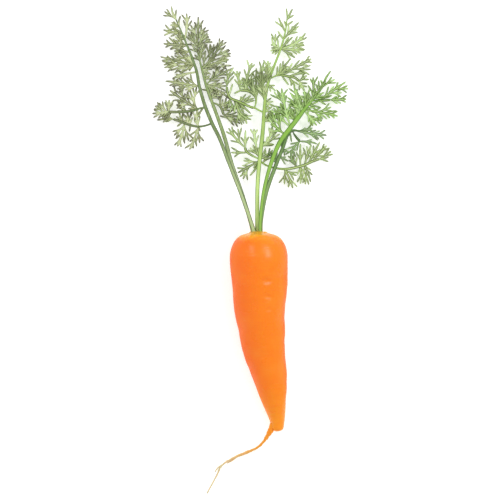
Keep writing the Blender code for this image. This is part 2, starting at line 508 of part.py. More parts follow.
def root_body(collection):
    """The taproot: a turned profile, bent along its axis, with its skin's relief and the flat that it lies on."""
    rows = smooth(ROOT_STATIONS, ROOT_STEPS)
    mesh = bpy.data.meshes.new("root")
    mesh.from_pydata([(row[3] * MM, 0.0, row[0] * MM) for row in rows], [(i, i + 1) for i in range(len(rows) - 1)], [])
    root = mesh_object("root", mesh, collection)
    screw = root.modifiers.new("turned", "SCREW")
    screw.axis = "Z"
    screw.steps = screw.render_steps = ROOT_SIDES
    screw.use_merge_vertices = True
    screw.merge_threshold = 0.00001
    root.data = evaluated_mesh(root)
    root.modifiers.clear()
    for vertex in root.data.vertices:
        y = vertex.co.z / MM
        row = min(rows, key=lambda r: abs(r[0] - y))
        # Half a side further round, a side and not an edge faces down.
        angle = math.atan2(vertex.co.y, vertex.co.x) + math.pi / ROOT_SIDES
        radius = row[3] + min(1.0, row[3] / RELIEF_RADIUS) * skin_relief(y, angle)
        z = row[2] + radius * math.sin(angle)
        vertex.co = place(row[1] + radius * math.cos(angle), y, 0.0 if z < FLAT_BELOW else z)
    body = bmesh.new()
    body.from_mesh(root.data)
    bmesh.ops.recalc_face_normals(body, faces=body.faces)
    body.to_mesh(root.data)
    body.free()
    return root


def taproot(collection):
    """The root with its tail and rootlets grown on, and a socket for each stalk."""
    root = root_body(collection)
    tails = helper_collection("tails")
    tube("tail", smooth(TAIL, TAIL_STEPS), 1, tails)
    for i, rootlet in enumerate(ROOTLETS):
        tube(f"rootlet_{i}", smooth(rootlet, 2), 0, tails)
    fuse(root, tails, "UNION")
    sockets = helper_collection("sockets")
    for name, frond in FRONDS.items():
        first, *others = [row for row in smooth(frond["stalks"][0], STALK_STEPS) if row[1] < SOCKET_TO_Y]
        deeper = first - Vector((0.0, SOCKET_GAP, 0.0, 0.0))
        tube(name + "_socket", [deeper, *others], 1, sockets, extra=SOCKET_GAP)
    fuse(root, sockets, "DIFFERENCE")
    painted(root, "root_skin", ROOT_COLOUR, 0.45)
    root.data.shade_smooth()
    root.data.set_sharp_from_angle(angle=math.radians(40))
    return root


def extruded(blade, left, right, centre, side, half_width):
    """Extrudes the edge between two corners to a new place, and returns the two new corners."""
    made = bmesh.ops.extrude_edge_only(blade, edges=[blade.edges.get((left, right))])["geom"]
    corners = [g for g in made if isinstance(g, bmesh.types.BMVert)]
    new_left = next(c for c in corners if blade.edges.get((c, left)))
    new_right = next(c for c in corners if c is not new_left)
    new_left.co = centre - side * half_width * MM
    new_right.co = centre + side * half_width * MM
    for corner in corners:
        corner.co.z = max(corner.co.z, LOWEST_LEAF * MM)
    return new_left, new_right


def side_heading(heading, normal, angle, draw):
    """The heading and normal of a branch that leaves at an angle to the right, a little above or below the blade."""
    angle += draw.uniform(-ANGLE_SPREAD, ANGLE_SPREAD)
    pitch = draw.uniform(-PITCH_SPREAD, PITCH_SPREAD)
    flat = heading * math.cos(angle) + heading.cross(normal) * math.sin(angle)
    return flat * math.cos(pitch) + normal * math.sin(pitch), normal * math.cos(pitch) - flat * math.sin(pitch)


def grow_branch(blade, left, right, heading, normal, length, draw):
    """A branch of the blade on the edge between two corners: a plain lobe, or a palm that forks in pairs of lobes."""
    side = heading.cross(normal)
    start = (left.co + right.co) / 2
    if length > LONGEST_LOBE:
        first = 0.22 * length + 0.3
        room = length - first - min(END_LOBE, 0.5 * length)
        pairs = max(1, round(room / FORK_SPACING))
        for i in range(pairs):
            along = first + i * room / pairs
            low_left, low_right = extruded(blade, left, right, start + heading * along * MM, side, RIB_HALF_WIDTH)
            along += NODE_LENGTH
            left, right = extruded(blade, low_left, low_right, start + heading * along * MM, side, PALM_HALF_WIDTH)
            for low, high, turn in ((low_left, left, -FORK_ANGLE), (right, low_right, FORK_ANGLE)):
                fork = (FORK_SHARE - 0.07 * i) * length * draw.uniform(1 - LENGTH_SPREAD, 1 + LENGTH_SPREAD)
                grow_branch(blade, low, high, *side_heading(heading, normal, turn, draw), fork, draw)
    extruded(blade, left, right, start + heading * length * MM, side, LOBE_HALF_WIDTH)


def pinna_route(base, tip, bow):
    """A function that gives the point at a share of a pinna's midrib, which bows sideways."""
    across = (tip - base).cross(UP).normalized()
    middle = (base + tip) / 2 - across * 2 * bow * MM
    return lambda t: base * (1 - t) ** 2 + middle * 2 * t * (1 - t) + tip * t**2


def midrib_heading(route, t):
    """The way a midrib runs at a share of its length."""
    return (route(min(1.0, t + 0.02)) - route(max(0.0, t - 0.02))).normalized()


def pinna_nodes(route, length, tips):
    """A pinna's nodes in order: how far along its midrib each lies, and the tips of its left and right pinnules."""
    pinnules = []
    for x, y in tips:
        tip = place(x, y, 0.0)
        t = min((i / 40 for i in range(41)), key=lambda share: (route(share) - tip).xy.length)
        foot = route(t)
        on_right = midrib_heading(route, t).cross(UP).dot(tip - foot) > 0
        back = (foot - tip).xy.length / MM / math.tan(PINNULE_ANGLE)
        pinnules.append((max(FIRST_NODE, t * length - back), on_right, tip))
    nodes = []
    for along, on_right, tip in sorted(pinnules, key=lambda pinnule: pinnule[0]):
        if nodes and along < nodes[-1][0] + NODE_LENGTH + NODE_GAP:
            along = nodes[-1][0] + NODE_LENGTH + NODE_GAP
            if nodes[-1][1 + on_right] is None:
                nodes[-1][1 + on_right] = tip
                continue
        nodes.append([along, None, None])
        nodes[-1][1 + on_right] = tip
    limit = length - LAST_NODE
    for node in reversed(nodes):
        node[0] = min(node[0], limit - NODE_LENGTH)
        limit = node[0] - NODE_GAP
    return [node for node in nodes if node[0] > NODE_GAP]


def grow_pinnule(blade, low, high, tip, slope, draw):
    """A pinnule on the edge between two corners, to its tip. It slopes with the midrib, or a little more or less."""
    to = tip - (low.co + high.co) / 2
    to.z = to.xy.length * (0.7 * slope + draw.uniform(-PINNULE_DROOP, PINNULE_DROOP))
    heading = to.normalized()
    normal = heading.cross(UP).normalized().cross(heading)
    grow_branch(blade, low, high, heading, normal, to.length / MM, draw)


def pinna(name, base, tip, bow, tips, collection):
    """One side leaf of a frond: a thin sheet cut into pinnules and lobes, which gets its thickness from a modifier."""
    route = pinna_route(base, tip, bow)
    length = sum((route(i / 10) - route(i / 10 + 0.1)).length for i in range(10)) / MM
    blade = bmesh.new()

    def station(along):
        """The point, heading and sideways direction at a distance along the midrib."""
        heading = midrib_heading(route, along / length)
        return route(along / length), heading, heading.cross(UP).normalized()

    point, heading, side = station(0.0)
    left = blade.verts.new(point - side * RIB_HALF_WIDTH * MM)
    right = blade.verts.new(point + side * RIB_HALF_WIDTH * MM)
    blade.edges.new((left, right))
    reached = 0.0
    for i, (along, left_tip, right_tip) in enumerate(pinna_nodes(route, length, tips)):
        while along - reached > 1.5 * RIB_STEP:
            reached += RIB_STEP
            point, heading, side = station(reached)
            left, right = extruded(blade, left, right, point, side, RIB_HALF_WIDTH)
        point, heading, side = station(along)
        low_left, low_right = extruded(blade, left, right, point, side, RIB_HALF_WIDTH)
        reached = along + NODE_LENGTH
        point, heading, side = station(reached)
        left, right = extruded(blade, low_left, low_right, point, side, RIB_HALF_WIDTH)
        if left_tip:
            grow_pinnule(blade, low_left, left, left_tip, heading.z, random.Random(f"{name} {i} left"))
        if right_tip:
            grow_pinnule(blade, right, low_right, right_tip, heading.z, random.Random(f"{name} {i} right"))
    point, heading, side = station(length)
    extruded(blade, left, right, point, side, LOBE_HALF_WIDTH)
    bmesh.ops.recalc_face_normals(blade, faces=blade.faces)
    bmesh.ops.triangulate(blade, faces=blade.faces)
    mesh = bpy.data.meshes.new(name)
    blade.to_mesh(mesh)
    blade.free()
    obj = mesh_object(name, mesh, collection)
    thicken = obj.modifiers.new("thickness", "SOLIDIFY")
    thicken.thickness = BLADE_THICKNESS * MM
    thicken.offset = 0.0
    return obj


def frond(name, table, collection):
    """A leaf: its stalk and ribs, with every pinna fused into them."""
    routes = [smooth(stalk, STALK_STEPS) for stalk in table["stalks"]]
    leaf = tube(name, routes[0], 1, collection)
    pieces = helper_collection(name + "_pieces")
    for i, rows in enumerate(routes[1:]):
        tube(f"{name}_rib_{i}", rows, 0, pieces)
    for i, (x, y, bow, tip, tips) in enumerate(table["pinnae"]):
        base = min((row for rows in routes for row in rows), key=lambda row: math.hypot(row[0] - x, row[1] - y))
        pinna(f"{name} {i}", place(*base[:3]), place(*tip), bow, tips, pieces)
    fuse(leaf, pieces, "UNION")
    painted(leaf, name + "_green", LEAF_COLOURS[name], 0.6)
    leaf.data.shade_smooth()
    leaf.data.set_sharp_from_angle(angle=math.radians(40))
    return leaf


def build():
    for obj in list(bpy.data.objects):
        bpy.data.objects.remove(obj)
    collection = bpy.data.collections.new("carrot")
    bpy.context.scene.collection.children.link(collection)
    taproot(collection)
    for name, table in FRONDS.items():
        frond(name, table, collection)


build()
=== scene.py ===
"""A whole carrot for a close look: its skinned root with a thin tail and fine rootlets, and the five
feathery leaves that stand in its crown, on a pale stage.

It lies on its side. +Y runs from the root's tip towards the leaves, +X across it and +Z up. The tables are in
millimetres, as in the part's own source, and are turned into metres where a shape is made.
"""

import math
import random

import bpy
from bpy.props import FloatProperty, FloatVectorProperty, IntProperty, PointerProperty
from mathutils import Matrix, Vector


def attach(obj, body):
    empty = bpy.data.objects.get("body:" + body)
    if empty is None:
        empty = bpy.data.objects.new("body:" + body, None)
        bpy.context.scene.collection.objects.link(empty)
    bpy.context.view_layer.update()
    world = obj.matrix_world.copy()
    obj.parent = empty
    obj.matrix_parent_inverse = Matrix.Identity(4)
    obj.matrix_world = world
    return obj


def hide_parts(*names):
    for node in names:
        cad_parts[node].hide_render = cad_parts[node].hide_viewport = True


bl_info = {
    "name": "Carrot with leaves",
    "version": (1, 0, 0),
    "blender": (4, 5, 0),
    "location": "3D View > Sidebar > Carrot",
    "description": "A carrot with its tail, stalks and feathery leaves, and a pale stage to see it on",
    "category": "Add Mesh",
}

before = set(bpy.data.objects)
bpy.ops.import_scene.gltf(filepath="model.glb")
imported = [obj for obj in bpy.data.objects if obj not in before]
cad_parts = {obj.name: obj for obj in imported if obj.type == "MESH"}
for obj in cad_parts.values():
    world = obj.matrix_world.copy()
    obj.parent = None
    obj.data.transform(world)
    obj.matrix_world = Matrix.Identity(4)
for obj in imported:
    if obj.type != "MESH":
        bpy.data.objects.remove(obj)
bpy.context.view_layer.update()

MM = 0.001
UP = Vector((0.0, 0.0, 1.0))

# The middle of the whole object in the tables' own X and Y, which becomes the origin.
MIDDLE_X = 0.14
MIDDLE_Y = 0.56

# The taproot
ROOT_SIDES = 32
ROOT_STEPS = 7
FLAT_BELOW = 0.25
# Along the root, from the collar that the stalks stand in to the blunt end: Y, X and Z of its axis, and its
# radius.
ROOT_STATIONS = (
    (12.6, 5.2, 18.4, 0.0),
    (12.3, 5.2, 18.4, 4.8),
    (11.1, 5.2, 18.5, 6.6),
    (9.1, 5.4, 18.6, 12.6),
    (5.0, 5.5, 18.5, 16.4),
    (-1.0, 5.7, 18.3, 18.5),
    (-8.0, 5.9, 18.5, 18.8),
    (-24.0, 6.2, 17.4, 18.0),
    (-42.0, 6.6, 15.7, 16.5),
    (-62.0, 8.5, 13.5, 14.2),
    (-80.0, 12.0, 11.4, 12.0),
    (-93.0, 14.5, 10.1, 9.4),
    (-104.0, 16.6, 9.2, 6.7),
    (-112.0, 17.7, 8.7, 4.6),
    (-116.8, 17.8, 8.5, 3.4),
    (-118.3, 17.6, 8.4, 0.0),
)
# The shallow rings that go part of the way round the skin: where they lie along the root, how wide, how deep,
# and which way they face, in degrees from +X towards +Z.
SKIN_RINGS = (
    (-17.5, 3.2, 0.30, 65),
    (-26.0, 3.0, 0.34, 75),
    (-35.0, 3.0, 0.32, 70),
    (-44.0, 3.2, 0.30, 20),
    (-52.0, 3.0, 0.30, 160),
    (-59.0, 3.0, 0.36, 0),
    (-68.0, 3.2, 0.30, 110),
    (-77.0, 2.8, 0.26, 190),
    (-85.0, 2.8, 0.30, 340),
    (-97.0, 2.4, 0.26, 60),
    (-108.0, 2.0, 0.26, 100),
)
RING_SPREAD = math.radians(75)
# Slow swellings of the outline: how far the radius changes, and how many times round.
LUMP_DEPTH = 0.22
LUMP_TURNS = 3
LUMP_LENGTH = 31.0
# A second set of them, twice round: its share of that depth, and how many times as long.
LOW_LUMP_SHARE = 0.6
LOW_LUMP_TIMES = 1.7
# From this radius outwards the skin has its full relief.
RELIEF_RADIUS = 8.0

# The tail: sides of its section and steps between two rows. Over its first rows it gets uneven, by up to a share
# of its thickness and by up to so many mm aside. It stays clear of the floor by the last value.
TAIL_SIDES = 14
TAIL_STEPS = 7
TAIL_EVEN_ROWS = 14
TAIL_UNEVEN = 0.16
TAIL_WANDER = 0.12
TAIL_CLEAR = 0.02
# From where its colour changes, and over what length
TAIL_FROM_Y = -116.0
TAIL_LENGTH = 41.0
# The tail and its rootlets: X, Y, Z and radius along each
TAIL = (
    (16.0, -110.5, 8.8, 2.2),
    (14.2, -115.5, 8.5, 2.1),
    (12.2, -119.6, 7.7, 1.6),
    (8.8, -124.8, 5.6, 1.05),
    (3.9, -129.2, 3.2, 0.8),
    (-3.6, -132.5, 1.5, 1.0),
    (-11.7, -136.0, 0.9, 0.68),
    (-18.6, -140.6, 0.75, 0.6),
    (-21.2, -146.0, 0.6, 0.52),
    (-28.0, -158.6, 0.48, 0.42),
)
ROOTLETS = (
    ((-7.2, -133.7, 1.2, 0.5), (-11.0, -136.9, 0.8, 0.42), (-14.8, -139.0, 0.5, 0.36)),
    ((-18.4, -140.2, 0.8, 0.5), (-21.0, -142.0, 0.7, 0.42), (-22.8, -144.6, 0.45, 0.36)),
)

# The tables of the fronds are in millimetres, with X and Y as seen from above. Each frond's stalks, as X, Y,
# Z and radius: first the main one from the crown to the tip, then the bare ribs that leave it.
STALKS = {
    "frond_left_front": (
        (
            (3, 8.6, 21, 1.25), (1.6, 15, 21.2, 1.3), (-5.2, 35, 20.2, 1.25), (-13.3, 55.6, 17.8, 1.2),
            (-19.8, 72.5, 15, 1.2), (-24.7, 82.4, 13.4, 1.2), (-29.4, 94.1, 11.8, 1.15),
            (-32.9, 106.3, 10.4, 1.05), (-34.6, 115.7, 9.2, 0.95), (-37.7, 125.2, 8, 0.82),
            (-40.9, 133, 7, 0.7), (-44.2, 141, 6, 0.56), (-48.2, 150, 4.8, 0.42),
        ),
        (
            (-28.7, 92.5, 12, 0.6), (-32.2, 92.2, 11.4, 0.6), (-36.1, 90.8, 10.4, 0.55),
            (-41.3, 90, 9.2, 0.5), (-47.8, 89.7, 7.8, 0.45), (-53, 90, 6.6, 0.42),
        ),
        (
            (-25, 82.1, 13.3, 0.6), (-28.9, 80.8, 11.6, 0.6), (-33.5, 80.1, 9.8, 0.55),
            (-38.7, 81.2, 8.2, 0.5), (-42.6, 82.5, 7, 0.48), (-45.8, 83.9, 6, 0.45), (-50.1, 85.2, 4.8, 0.42),
        ),
    ),
    "frond_left_back": (
        (
            (2, 8.6, 15.4, 1.2), (1.2, 15, 15.4, 1.3), (-4.7, 35, 14, 1.3), (-11.7, 55.6, 11.3, 1.3),
            (-17, 74.6, 8.2, 1.25), (-23.1, 91.9, 5.4, 1.1), (-27.6, 104, 3.9, 0.95), (-29.6, 111, 3.4, 0.85),
            (-31.4, 118, 3, 0.7), (-34, 128.6, 2.3, 0.55), (-34.8, 135, 2, 0.45),
        ),
        (
            (-28.6, 107.6, 3.7, 0.5), (-24.4, 111.8, 3.2, 0.5), (-22.1, 115.4, 2.8, 0.45),
            (-20.9, 118.3, 2.5, 0.42), (-19.2, 119.5, 2.3, 0.4),
        ),
        (
            (-24.7, 96.2, 4.6, 0.55), (-22.1, 95.2, 3.9, 0.5), (-19.6, 93.9, 3.3, 0.48),
            (-18.1, 91, 2.8, 0.45), (-17.2, 88.1, 2.4, 0.42),
        ),
    ),
    "frond_middle": (
        (
            (4.7, 8.6, 17.8, 1.3), (4.7, 22.8, 17.8, 1.35), (4.9, 42, 15.8, 1.3), (6.2, 58, 13.4, 1.35),
            (8.2, 76, 11.2, 1.3), (9.2, 90, 9.9, 1.15), (10.4, 102, 9, 1), (13.4, 113.6, 7.9, 0.85),
            (20, 131, 6, 0.68), (23, 142, 4.8, 0.5), (24, 149.6, 3.8, 0.42),
        ),
        (
            (6.5, 57.7, 13.2, 0.6), (10.1, 55.3, 11.2, 0.6), (14.6, 53.6, 9, 0.6), (19.8, 52.8, 6.6, 0.58),
            (25, 52.8, 4.8, 0.55), (30.2, 53.9, 3.6, 0.5), (35.4, 55.3, 2.9, 0.48), (40.6, 57.8, 2.3, 0.45),
            (45.2, 59.3, 1.8, 0.42),
        ),
        (
            (6.4, 59.1, 13.3, 0.6), (2.9, 60.5, 12.3, 0.55), (-0.3, 62.4, 11.1, 0.5),
            (-2.6, 64.4, 10.2, 0.48), (-3.1, 66.6, 9.6, 0.45),
        ),
        (
            (9, 89.4, 9.9, 0.6), (5.5, 91, 9.5, 0.58), (2.9, 92.5, 9.1, 0.55), (-1, 93.5, 8.5, 0.55),
            (-4.9, 95.4, 7.9, 0.52), (-8.8, 97.2, 7.3, 0.5), (-12.7, 98.7, 6.7, 0.48),
            (-14.6, 102, 6.2, 0.45), (-15.1, 106.3, 5.8, 0.42),
        ),
        (
            (2.9, 92.5, 9.1, 0.5), (4, 96.5, 8.9, 0.5), (3.4, 99.8, 8.6, 0.5), (0.3, 102.8, 8.3, 0.48),
            (-2.9, 103.7, 8, 0.45), (-6.2, 103.7, 7.6, 0.42),
        ),
        (
            (13.8, 111.8, 7.9, 0.5), (16.9, 113.4, 7.5, 0.5), (20.5, 113.9, 6.8, 0.48), (25, 112.9, 6, 0.45),
            (29.2, 112.3, 5.2, 0.42), (31.9, 109.9, 4.6, 0.4),
        ),
    ),
    "frond_right_front": (
        (
            (6.7, 8.6, 21.4, 1), (6.8, 20, 21.9, 1.05), (8.9, 38, 20.9, 1.15), (13.5, 55.6, 18.9, 1.3),
            (19.2, 69.6, 16.8, 1.5), (26.4, 79.5, 15.2, 1.6), (32.4, 87.4, 13.4, 1.5), (35, 91, 12.6, 1.25),
            (38, 94.6, 11.6, 1.05), (41.3, 98.4, 10.6, 0.9), (44.4, 102, 9.4, 0.7), (47.1, 105.8, 8.2, 0.5),
        ),
        (
            (41.9, 98.6, 10.6, 0.55), (44.5, 98.7, 9.8, 0.5), (47.5, 99, 8.8, 0.48), (52.3, 100.2, 7.4, 0.42),
        ),
        (
            (40, 96.9, 10.9, 0.55), (43.2, 97.2, 9.4, 0.5), (47.1, 97.2, 7.8, 0.48), (52.3, 97.7, 6.2, 0.42),
        ),
    ),
    "frond_right_back": (
        (
            (7, 8.6, 15.1, 1.1), (7.4, 20, 15.4, 1.15), (10.8, 38, 14.6, 1.25), (17, 55.6, 12.6, 1.25),
            (20.8, 65, 11.2, 1.2), (24.3, 74.6, 9.4, 1.1), (27.6, 77.6, 8.3, 0.85), (32, 77.5, 7, 0.6),
            (37, 77.6, 5.6, 0.45),
        ),
        (
            (27.9, 76.7, 8.2, 0.5), (29.9, 73.5, 7.2, 0.5), (32.5, 70.7, 6.2, 0.45),
        ),
    ),
}
# Each frond's pinnae: the X and Y where one leaves the nearest stalk, how far it bows to its left, its tip's
# X, Y and Z, and the X and Y of its pinnules' tips.
PINNAE = {
    "frond_left_front": (
        (-48.2, 150, 0.3, (-51.7, 158.3, 3.6), ((-55.6, 155),)),
        (-46.3, 145, 0.5, (-46.1, 152.4, 5), ()),
        (-46.1, 144.6, 0, (-51, 147.9, 4.6), ()),
        (-45.2, 142, 0, (-50.5, 145.1, 4.8), ()),
        (-44.5, 141.5, 0.4, (-56.2, 143.3, 3.6), ((-55.4, 146.4), (-51.5, 139.4))),
        (-43.2, 138.5, -0.8, (-41.3, 153.7, 5.2), ((-43.2, 149.5), (-39.1, 152.2), (-38, 149.2))),
        (-40.4, 131.3, 0, (-56, 134.2, 4.2), (
            (-53, 138.1), (-48.4, 138.8), (-50, 137.2), (-46.1, 137.5), (-54.9, 132.1), (-51.4, 130.3),
        )),
        (-40.1, 130.7, 0.3, (-48.9, 129.5, 4.4), ((-48.9, 127.6), (-44.3, 127.6))),
        (-35.9, 119.7, 0.6, (-40.6, 127.1, 7.6), ((-43, 126.9),)),
        (-35.7, 119.3, 0.2, (-58.2, 125.8, 4.4), (
            (-46.5, 129.3), (-51, 126.2), (-54, 126.2), (-57.2, 123.3), (-55.9, 120.6), (-55.6, 118.6),
            (-51.5, 116.8), (-48.1, 116.9),
        )),
        (-35, 118, -0.6, (-50.4, 111.8, 3.4), ((-48.1, 114.3), (-44.8, 111.5))),
        (-33.3, 106.3, 0, (-54.7, 110.2, 3.8), (
            (-41.1, 112.3), (-43.9, 111.8), (-46.3, 111.8), (-49.9, 111.3), (-52.3, 107.2), (-50.4, 106.1),
            (-47.1, 104.7), (-41.9, 104),
        )),
        (-35.1, 91.5, 0.3, (-51.7, 103.7, 3), (
            (-52.8, 101.1), (-49.7, 97.7), (-47.6, 94.6), (-45.8, 104.7), (-43.2, 100.8), (-39.6, 105),
        )),
        (-52, 90, 0, (-52.6, 97.4, 4.8), ((-54.9, 97.3), (-50.2, 95.2))),
        (-53, 90, 0.2, (-63.2, 88.9, 2.6), ((-59.3, 95.9), (-61.6, 93.9), (-62.4, 91.3))),
        (-42.6, 89.9, 0.2, (-47.5, 94.4, 6.2), ((-46.9, 92.6), (-43.2, 94.6))),
        (-38.4, 90.4, 0, (-36.5, 95.5, 8.6), ()),
        (-50.1, 85.2, -0.2, (-60.5, 85, 2.2), ((-58.2, 88.3), (-54.3, 88.5))),
        (-43.9, 83.1, 0, (-47.1, 80.5, 4), ()),
        (-40, 81.6, 0, (-40.4, 89.5, 8), ((-43.2, 88.4), (-38, 88.7))),
        (-32.4, 80.3, 0.8, (-34.4, 91, 9.6), ((-36.1, 83.9), (-32.2, 89.4))),
        (-42.6, 82.5, 0.5, (-47.1, 67.9, 2.4), ((-49.5, 74.9), (-49.2, 68.6), (-42.6, 69.4), (-40, 71.2))),
        (-33.6, 80.1, 0.3, (-39, 65.8, 2), ((-38.9, 74.7), (-37, 66.4), (-34.8, 67.7), (-32.6, 69.9))),
        (-38.4, 81.1, 0, (-39.6, 77.4, 6), ()),
        (-33, 80.1, 0, (-32.4, 77.5, 8), ()),
        (-38.7, 81.2, 0, (-41, 89.7, 5.6), ((-44.5, 85.2), (-37.7, 86.1), (-43.9, 88.7))),
        (-43.2, 83.5, 0, (-46.5, 90.4, 5.2), ((-47.8, 86.8), (-43.9, 89.4))),
        (-50.4, 90.4, 0, (-58.2, 87.1, 3.6), ((-54.3, 92), (-56.2, 89.4), (-54.3, 85.8))),
        (-34.8, 91.7, 0, (-34.5, 84.5, 6.8), ((-36.4, 83.9), (-32.5, 86.1))),
        (-30.2, 93.3, 0, (-33.5, 88.1, 7.4), ()),
        (-37.4, 121.9, 0, (-43.2, 116, 8), ((-44.5, 119.3), (-39.3, 116.7))),
        (-40.3, 131, 0, (-45.2, 127.7, 6.4), ((-45.8, 130.7),)),
        (-42.6, 137.5, 0.2, (-47.8, 139.4, 5.2), ((-46.5, 141.4), (-47.1, 135.5))),
        (-46.5, 145.9, 0, (-51.7, 146.6, 4.6), ((-49.7, 148.5),)),
    ),
    "frond_left_back": (
        (-34.4, 132.9, 0, (-33.5, 151.8, 1.6), (
            (-36.1, 148.5), (-38.5, 146.4), (-40.4, 142), (-30.2, 149.6), (-29.1, 145.1), (-27.9, 141.6),
        )),
        (-33.9, 131, 0, (-26.1, 137.2, 1.8), ((-29.6, 142), (-27, 138.8), (-27.9, 133.6))),
        (-34.3, 131.6, 0, (-38.5, 142, 2.2), ((-40.6, 138.1), (-36.7, 144.6), (-41, 134.2))),
        (-32.5, 124.5, 0.3, (-30.2, 135.5, 2.2), ((-33.1, 131.6), (-28.1, 133.4), (-28.9, 129.7))),
        (-31.7, 120.6, -1, (-17.6, 136.7, 2), (
            (-29.1, 129.7), (-26, 133.8), (-23.7, 133.9), (-21.1, 134.9), (-13.8, 130.7), (-15.3, 135.3),
        )),
        (-31.5, 119.6, 0.6, (-14.2, 124.1, 1.8), (
            (-16.7, 127.1), (-21.8, 127.4), (-15.3, 122.4), (-18.2, 122.7),
        )),
        (-19.2, 119.5, 0.2, (-12.3, 120.6, 1.6), ((-17.1, 121.5), (-15.3, 118))),
        (-22.6, 114.4, 0, (-24.1, 116.3, 2.4), ()),
        (-21, 118, 0.2, (-25.7, 121.1, 2), ((-24.2, 122.3), (-20.5, 122), (-25.4, 118.8))),
        (-30.2, 113.4, 0, (-26.6, 118.3, 2.6), ((-29.6, 117.7), (-26.3, 115))),
        (-29.4, 110.8, 0, (-26.5, 113.4, 3), ((-28.9, 114.7),)),
        (-19.6, 93.9, -2.4, (-25.8, 106.5, 2.2), ((-18.3, 102.2), (-23.9, 101.1))),
        (-17.2, 88.1, 0.4, (-10.5, 81.4, 1.4), ((-12.3, 88.7), (-19.3, 87.4))),
        (-18.5, 91.7, 0, (-12.5, 93.7, 2.2), ((-12.8, 90.7),)),
        (-28.1, 105.6, 0, (-30.9, 104.3, 3.8), ()),
        (-31.9, 121.5, 0, (-35.8, 127.1, 2.2), ((-32.6, 127.6),)),
        (-27.9, 107.2, 0.6, (-13.3, 98.8, 4), (
            (-19.8, 108.5), (-15.3, 106.9), (-22.8, 100.1), (-18.2, 101.4),
        )),
        (-27, 108.9, 0.4, (-11.1, 118.6, 4.2), (
            (-23.1, 116), (-19.8, 119), (-15.9, 120.2), (-16.6, 112.1), (-13.3, 114.1),
        )),
        (-17.2, 88.7, 0, (-4.2, 86.5, 2.4), ((-11.4, 91), (-8.8, 89.7), (-10.1, 83.5), (-6.8, 82.5))),
        (-19.8, 93.3, 0, (-12, 96.5, 3.4), ((-17.9, 97.8), (-15.3, 99.1), (-14, 93.3))),
        (-25.7, 97.8, 0, (-18.5, 103.7, 4.6), ((-23.7, 103), (-21.1, 105), (-19.8, 99.1))),
        (-30.9, 120.6, 0, (-25.7, 114.7, 3), ((-28.3, 114.1), (-25, 118))),
        (-33.5, 126.4, 0.2, (-38.7, 134.9, 2.8), ((-38.7, 131), (-34.8, 134.2))),
    ),
    "frond_middle": (
        (-3.1, 66.3, 0.8, (-13.8, 79.1, 7.6), ((-15.3, 76.9), (-11.8, 80), (-7.7, 78.8))),
        (-3.1, 66.3, 0, (-3.1, 77.7, 8.2), ((-5.8, 73.4), (-1.1, 73.5))),
        (-2, 63.7, 0, (-12, 63.2, 8.6), ((-12, 66.6),)),
        (6.4, 60.1, 0.8, (2.7, 78.2, 10.4), ((0.3, 73.5), (4.7, 78.1), (0.1, 66.2))),
        (6.6, 60.8, 0, (3.3, 67, 12.4), ((5.3, 66.3), (1.9, 64.3))),
        (6.3, 57.5, -0.3, (-7.6, 50.2, 8.6), ((-4.2, 57.9), (-8.3, 53.1), (-4.5, 46.3))),
        (6, 56.6, 0.3, (0.3, 48.3, 9.6), ()),
        (7.2, 63.4, -2, (14.6, 80.1, 12.2), (
            (11.4, 73.5), (9.6, 70.2), (13.2, 79), (16.9, 77.7), (18.2, 79.5), (19, 75.4),
        )),
        (7.1, 62.4, 0, (13.1, 63.1, 12), ((10.4, 65.8),)),
        (22.9, 52.5, 0.5, (28, 40.4, 2.2), ((22.3, 43.2), (25, 40.9), (30.6, 41.1), (30, 48.3))),
        (34.1, 54.8, 0.3, (33, 43.5, 1.8), ((30.6, 44.4), (36.9, 48.4))),
        (45.2, 59.3, 0, (51, 60.4, 1.4), ((52.8, 64.3),)),
        (41.3, 58, 0, (49.7, 67.9, 2.8), ((48.4, 69.1), (51.2, 66.2))),
        (38, 56.6, 0, (45.4, 70.1, 2.2), ((41.3, 67.9), (47.5, 64))),
        (35.1, 55.2, 0, (39.7, 68.3, 2.2), ((35.1, 66.6), (39.2, 64.3), (38.7, 61.4))),
        (33.1, 54.6, 0, (32.6, 68.9, 3.6), ((35.8, 64.7), (30, 63.4))),
        (30.9, 54.1, 0, (26.7, 62.4, 3.4), ((28.6, 64), (30.4, 60.1))),
        (-15.1, 106.3, 1, (-11.2, 118.9, 5.2), ((-16.7, 111.8), (-15.1, 116), (-10.6, 113.2))),
        (-14, 100.8, 0, (-11.4, 107.9, 6), ()),
        (-6.8, 96.3, 0, (-2.8, 101.1, 7.6), ((-5.9, 99.6),)),
        (-4.2, 95.1, 0, (0.3, 100.3, 8.4), ((-2.3, 98.6),)),
        (-4.2, 95.1, 0, (2.8, 97.2, 8.2), ()),
        (-3.9, 94.9, 0, (1.8, 92.2, 7.6), ()),
        (-8.1, 96.9, 0, (0.2, 89, 6.4), ((-4.1, 88.6),)),
        (-9.4, 97.4, -3, (0.7, 84.8, 5.2), ((1.6, 87.4), (-3.7, 82.6), (-5.5, 81.6), (-10.4, 89.4))),
        (-13, 98.9, 0, (-14, 92.6, 5), ((-10.7, 90.7),)),
        (-2.3, 103.5, 0.8, (1.2, 121.5, 9.4), (
            (2.9, 120.4), (-3.7, 117.5), (3.2, 116.7), (-4.7, 111.9), (3.6, 112.8),
        )),
        (-5.9, 103.7, 0, (-8.4, 116.3, 7.4), ((-6.4, 115.9), (-10.1, 110.8))),
        (-5.5, 103.7, 0, (-10.1, 102, 7.2), ()),
        (3.5, 99.8, 0, (1.3, 110.8, 9.2), ((-0.5, 107.6), (4.1, 108.9), (5.5, 104.3))),
        (9.8, 99.1, 0.8, (6.8, 119.3, 9.2), (
            (4.4, 116.7), (3.1, 113.1), (3.6, 107.6), (8.9, 121.7), (10.4, 115.4),
        )),
        (11.8, 107.6, 0, (11.6, 122.8, 8.8), ((13.1, 121.7), (9.1, 118), (14.8, 119.6), (9.3, 112.8))),
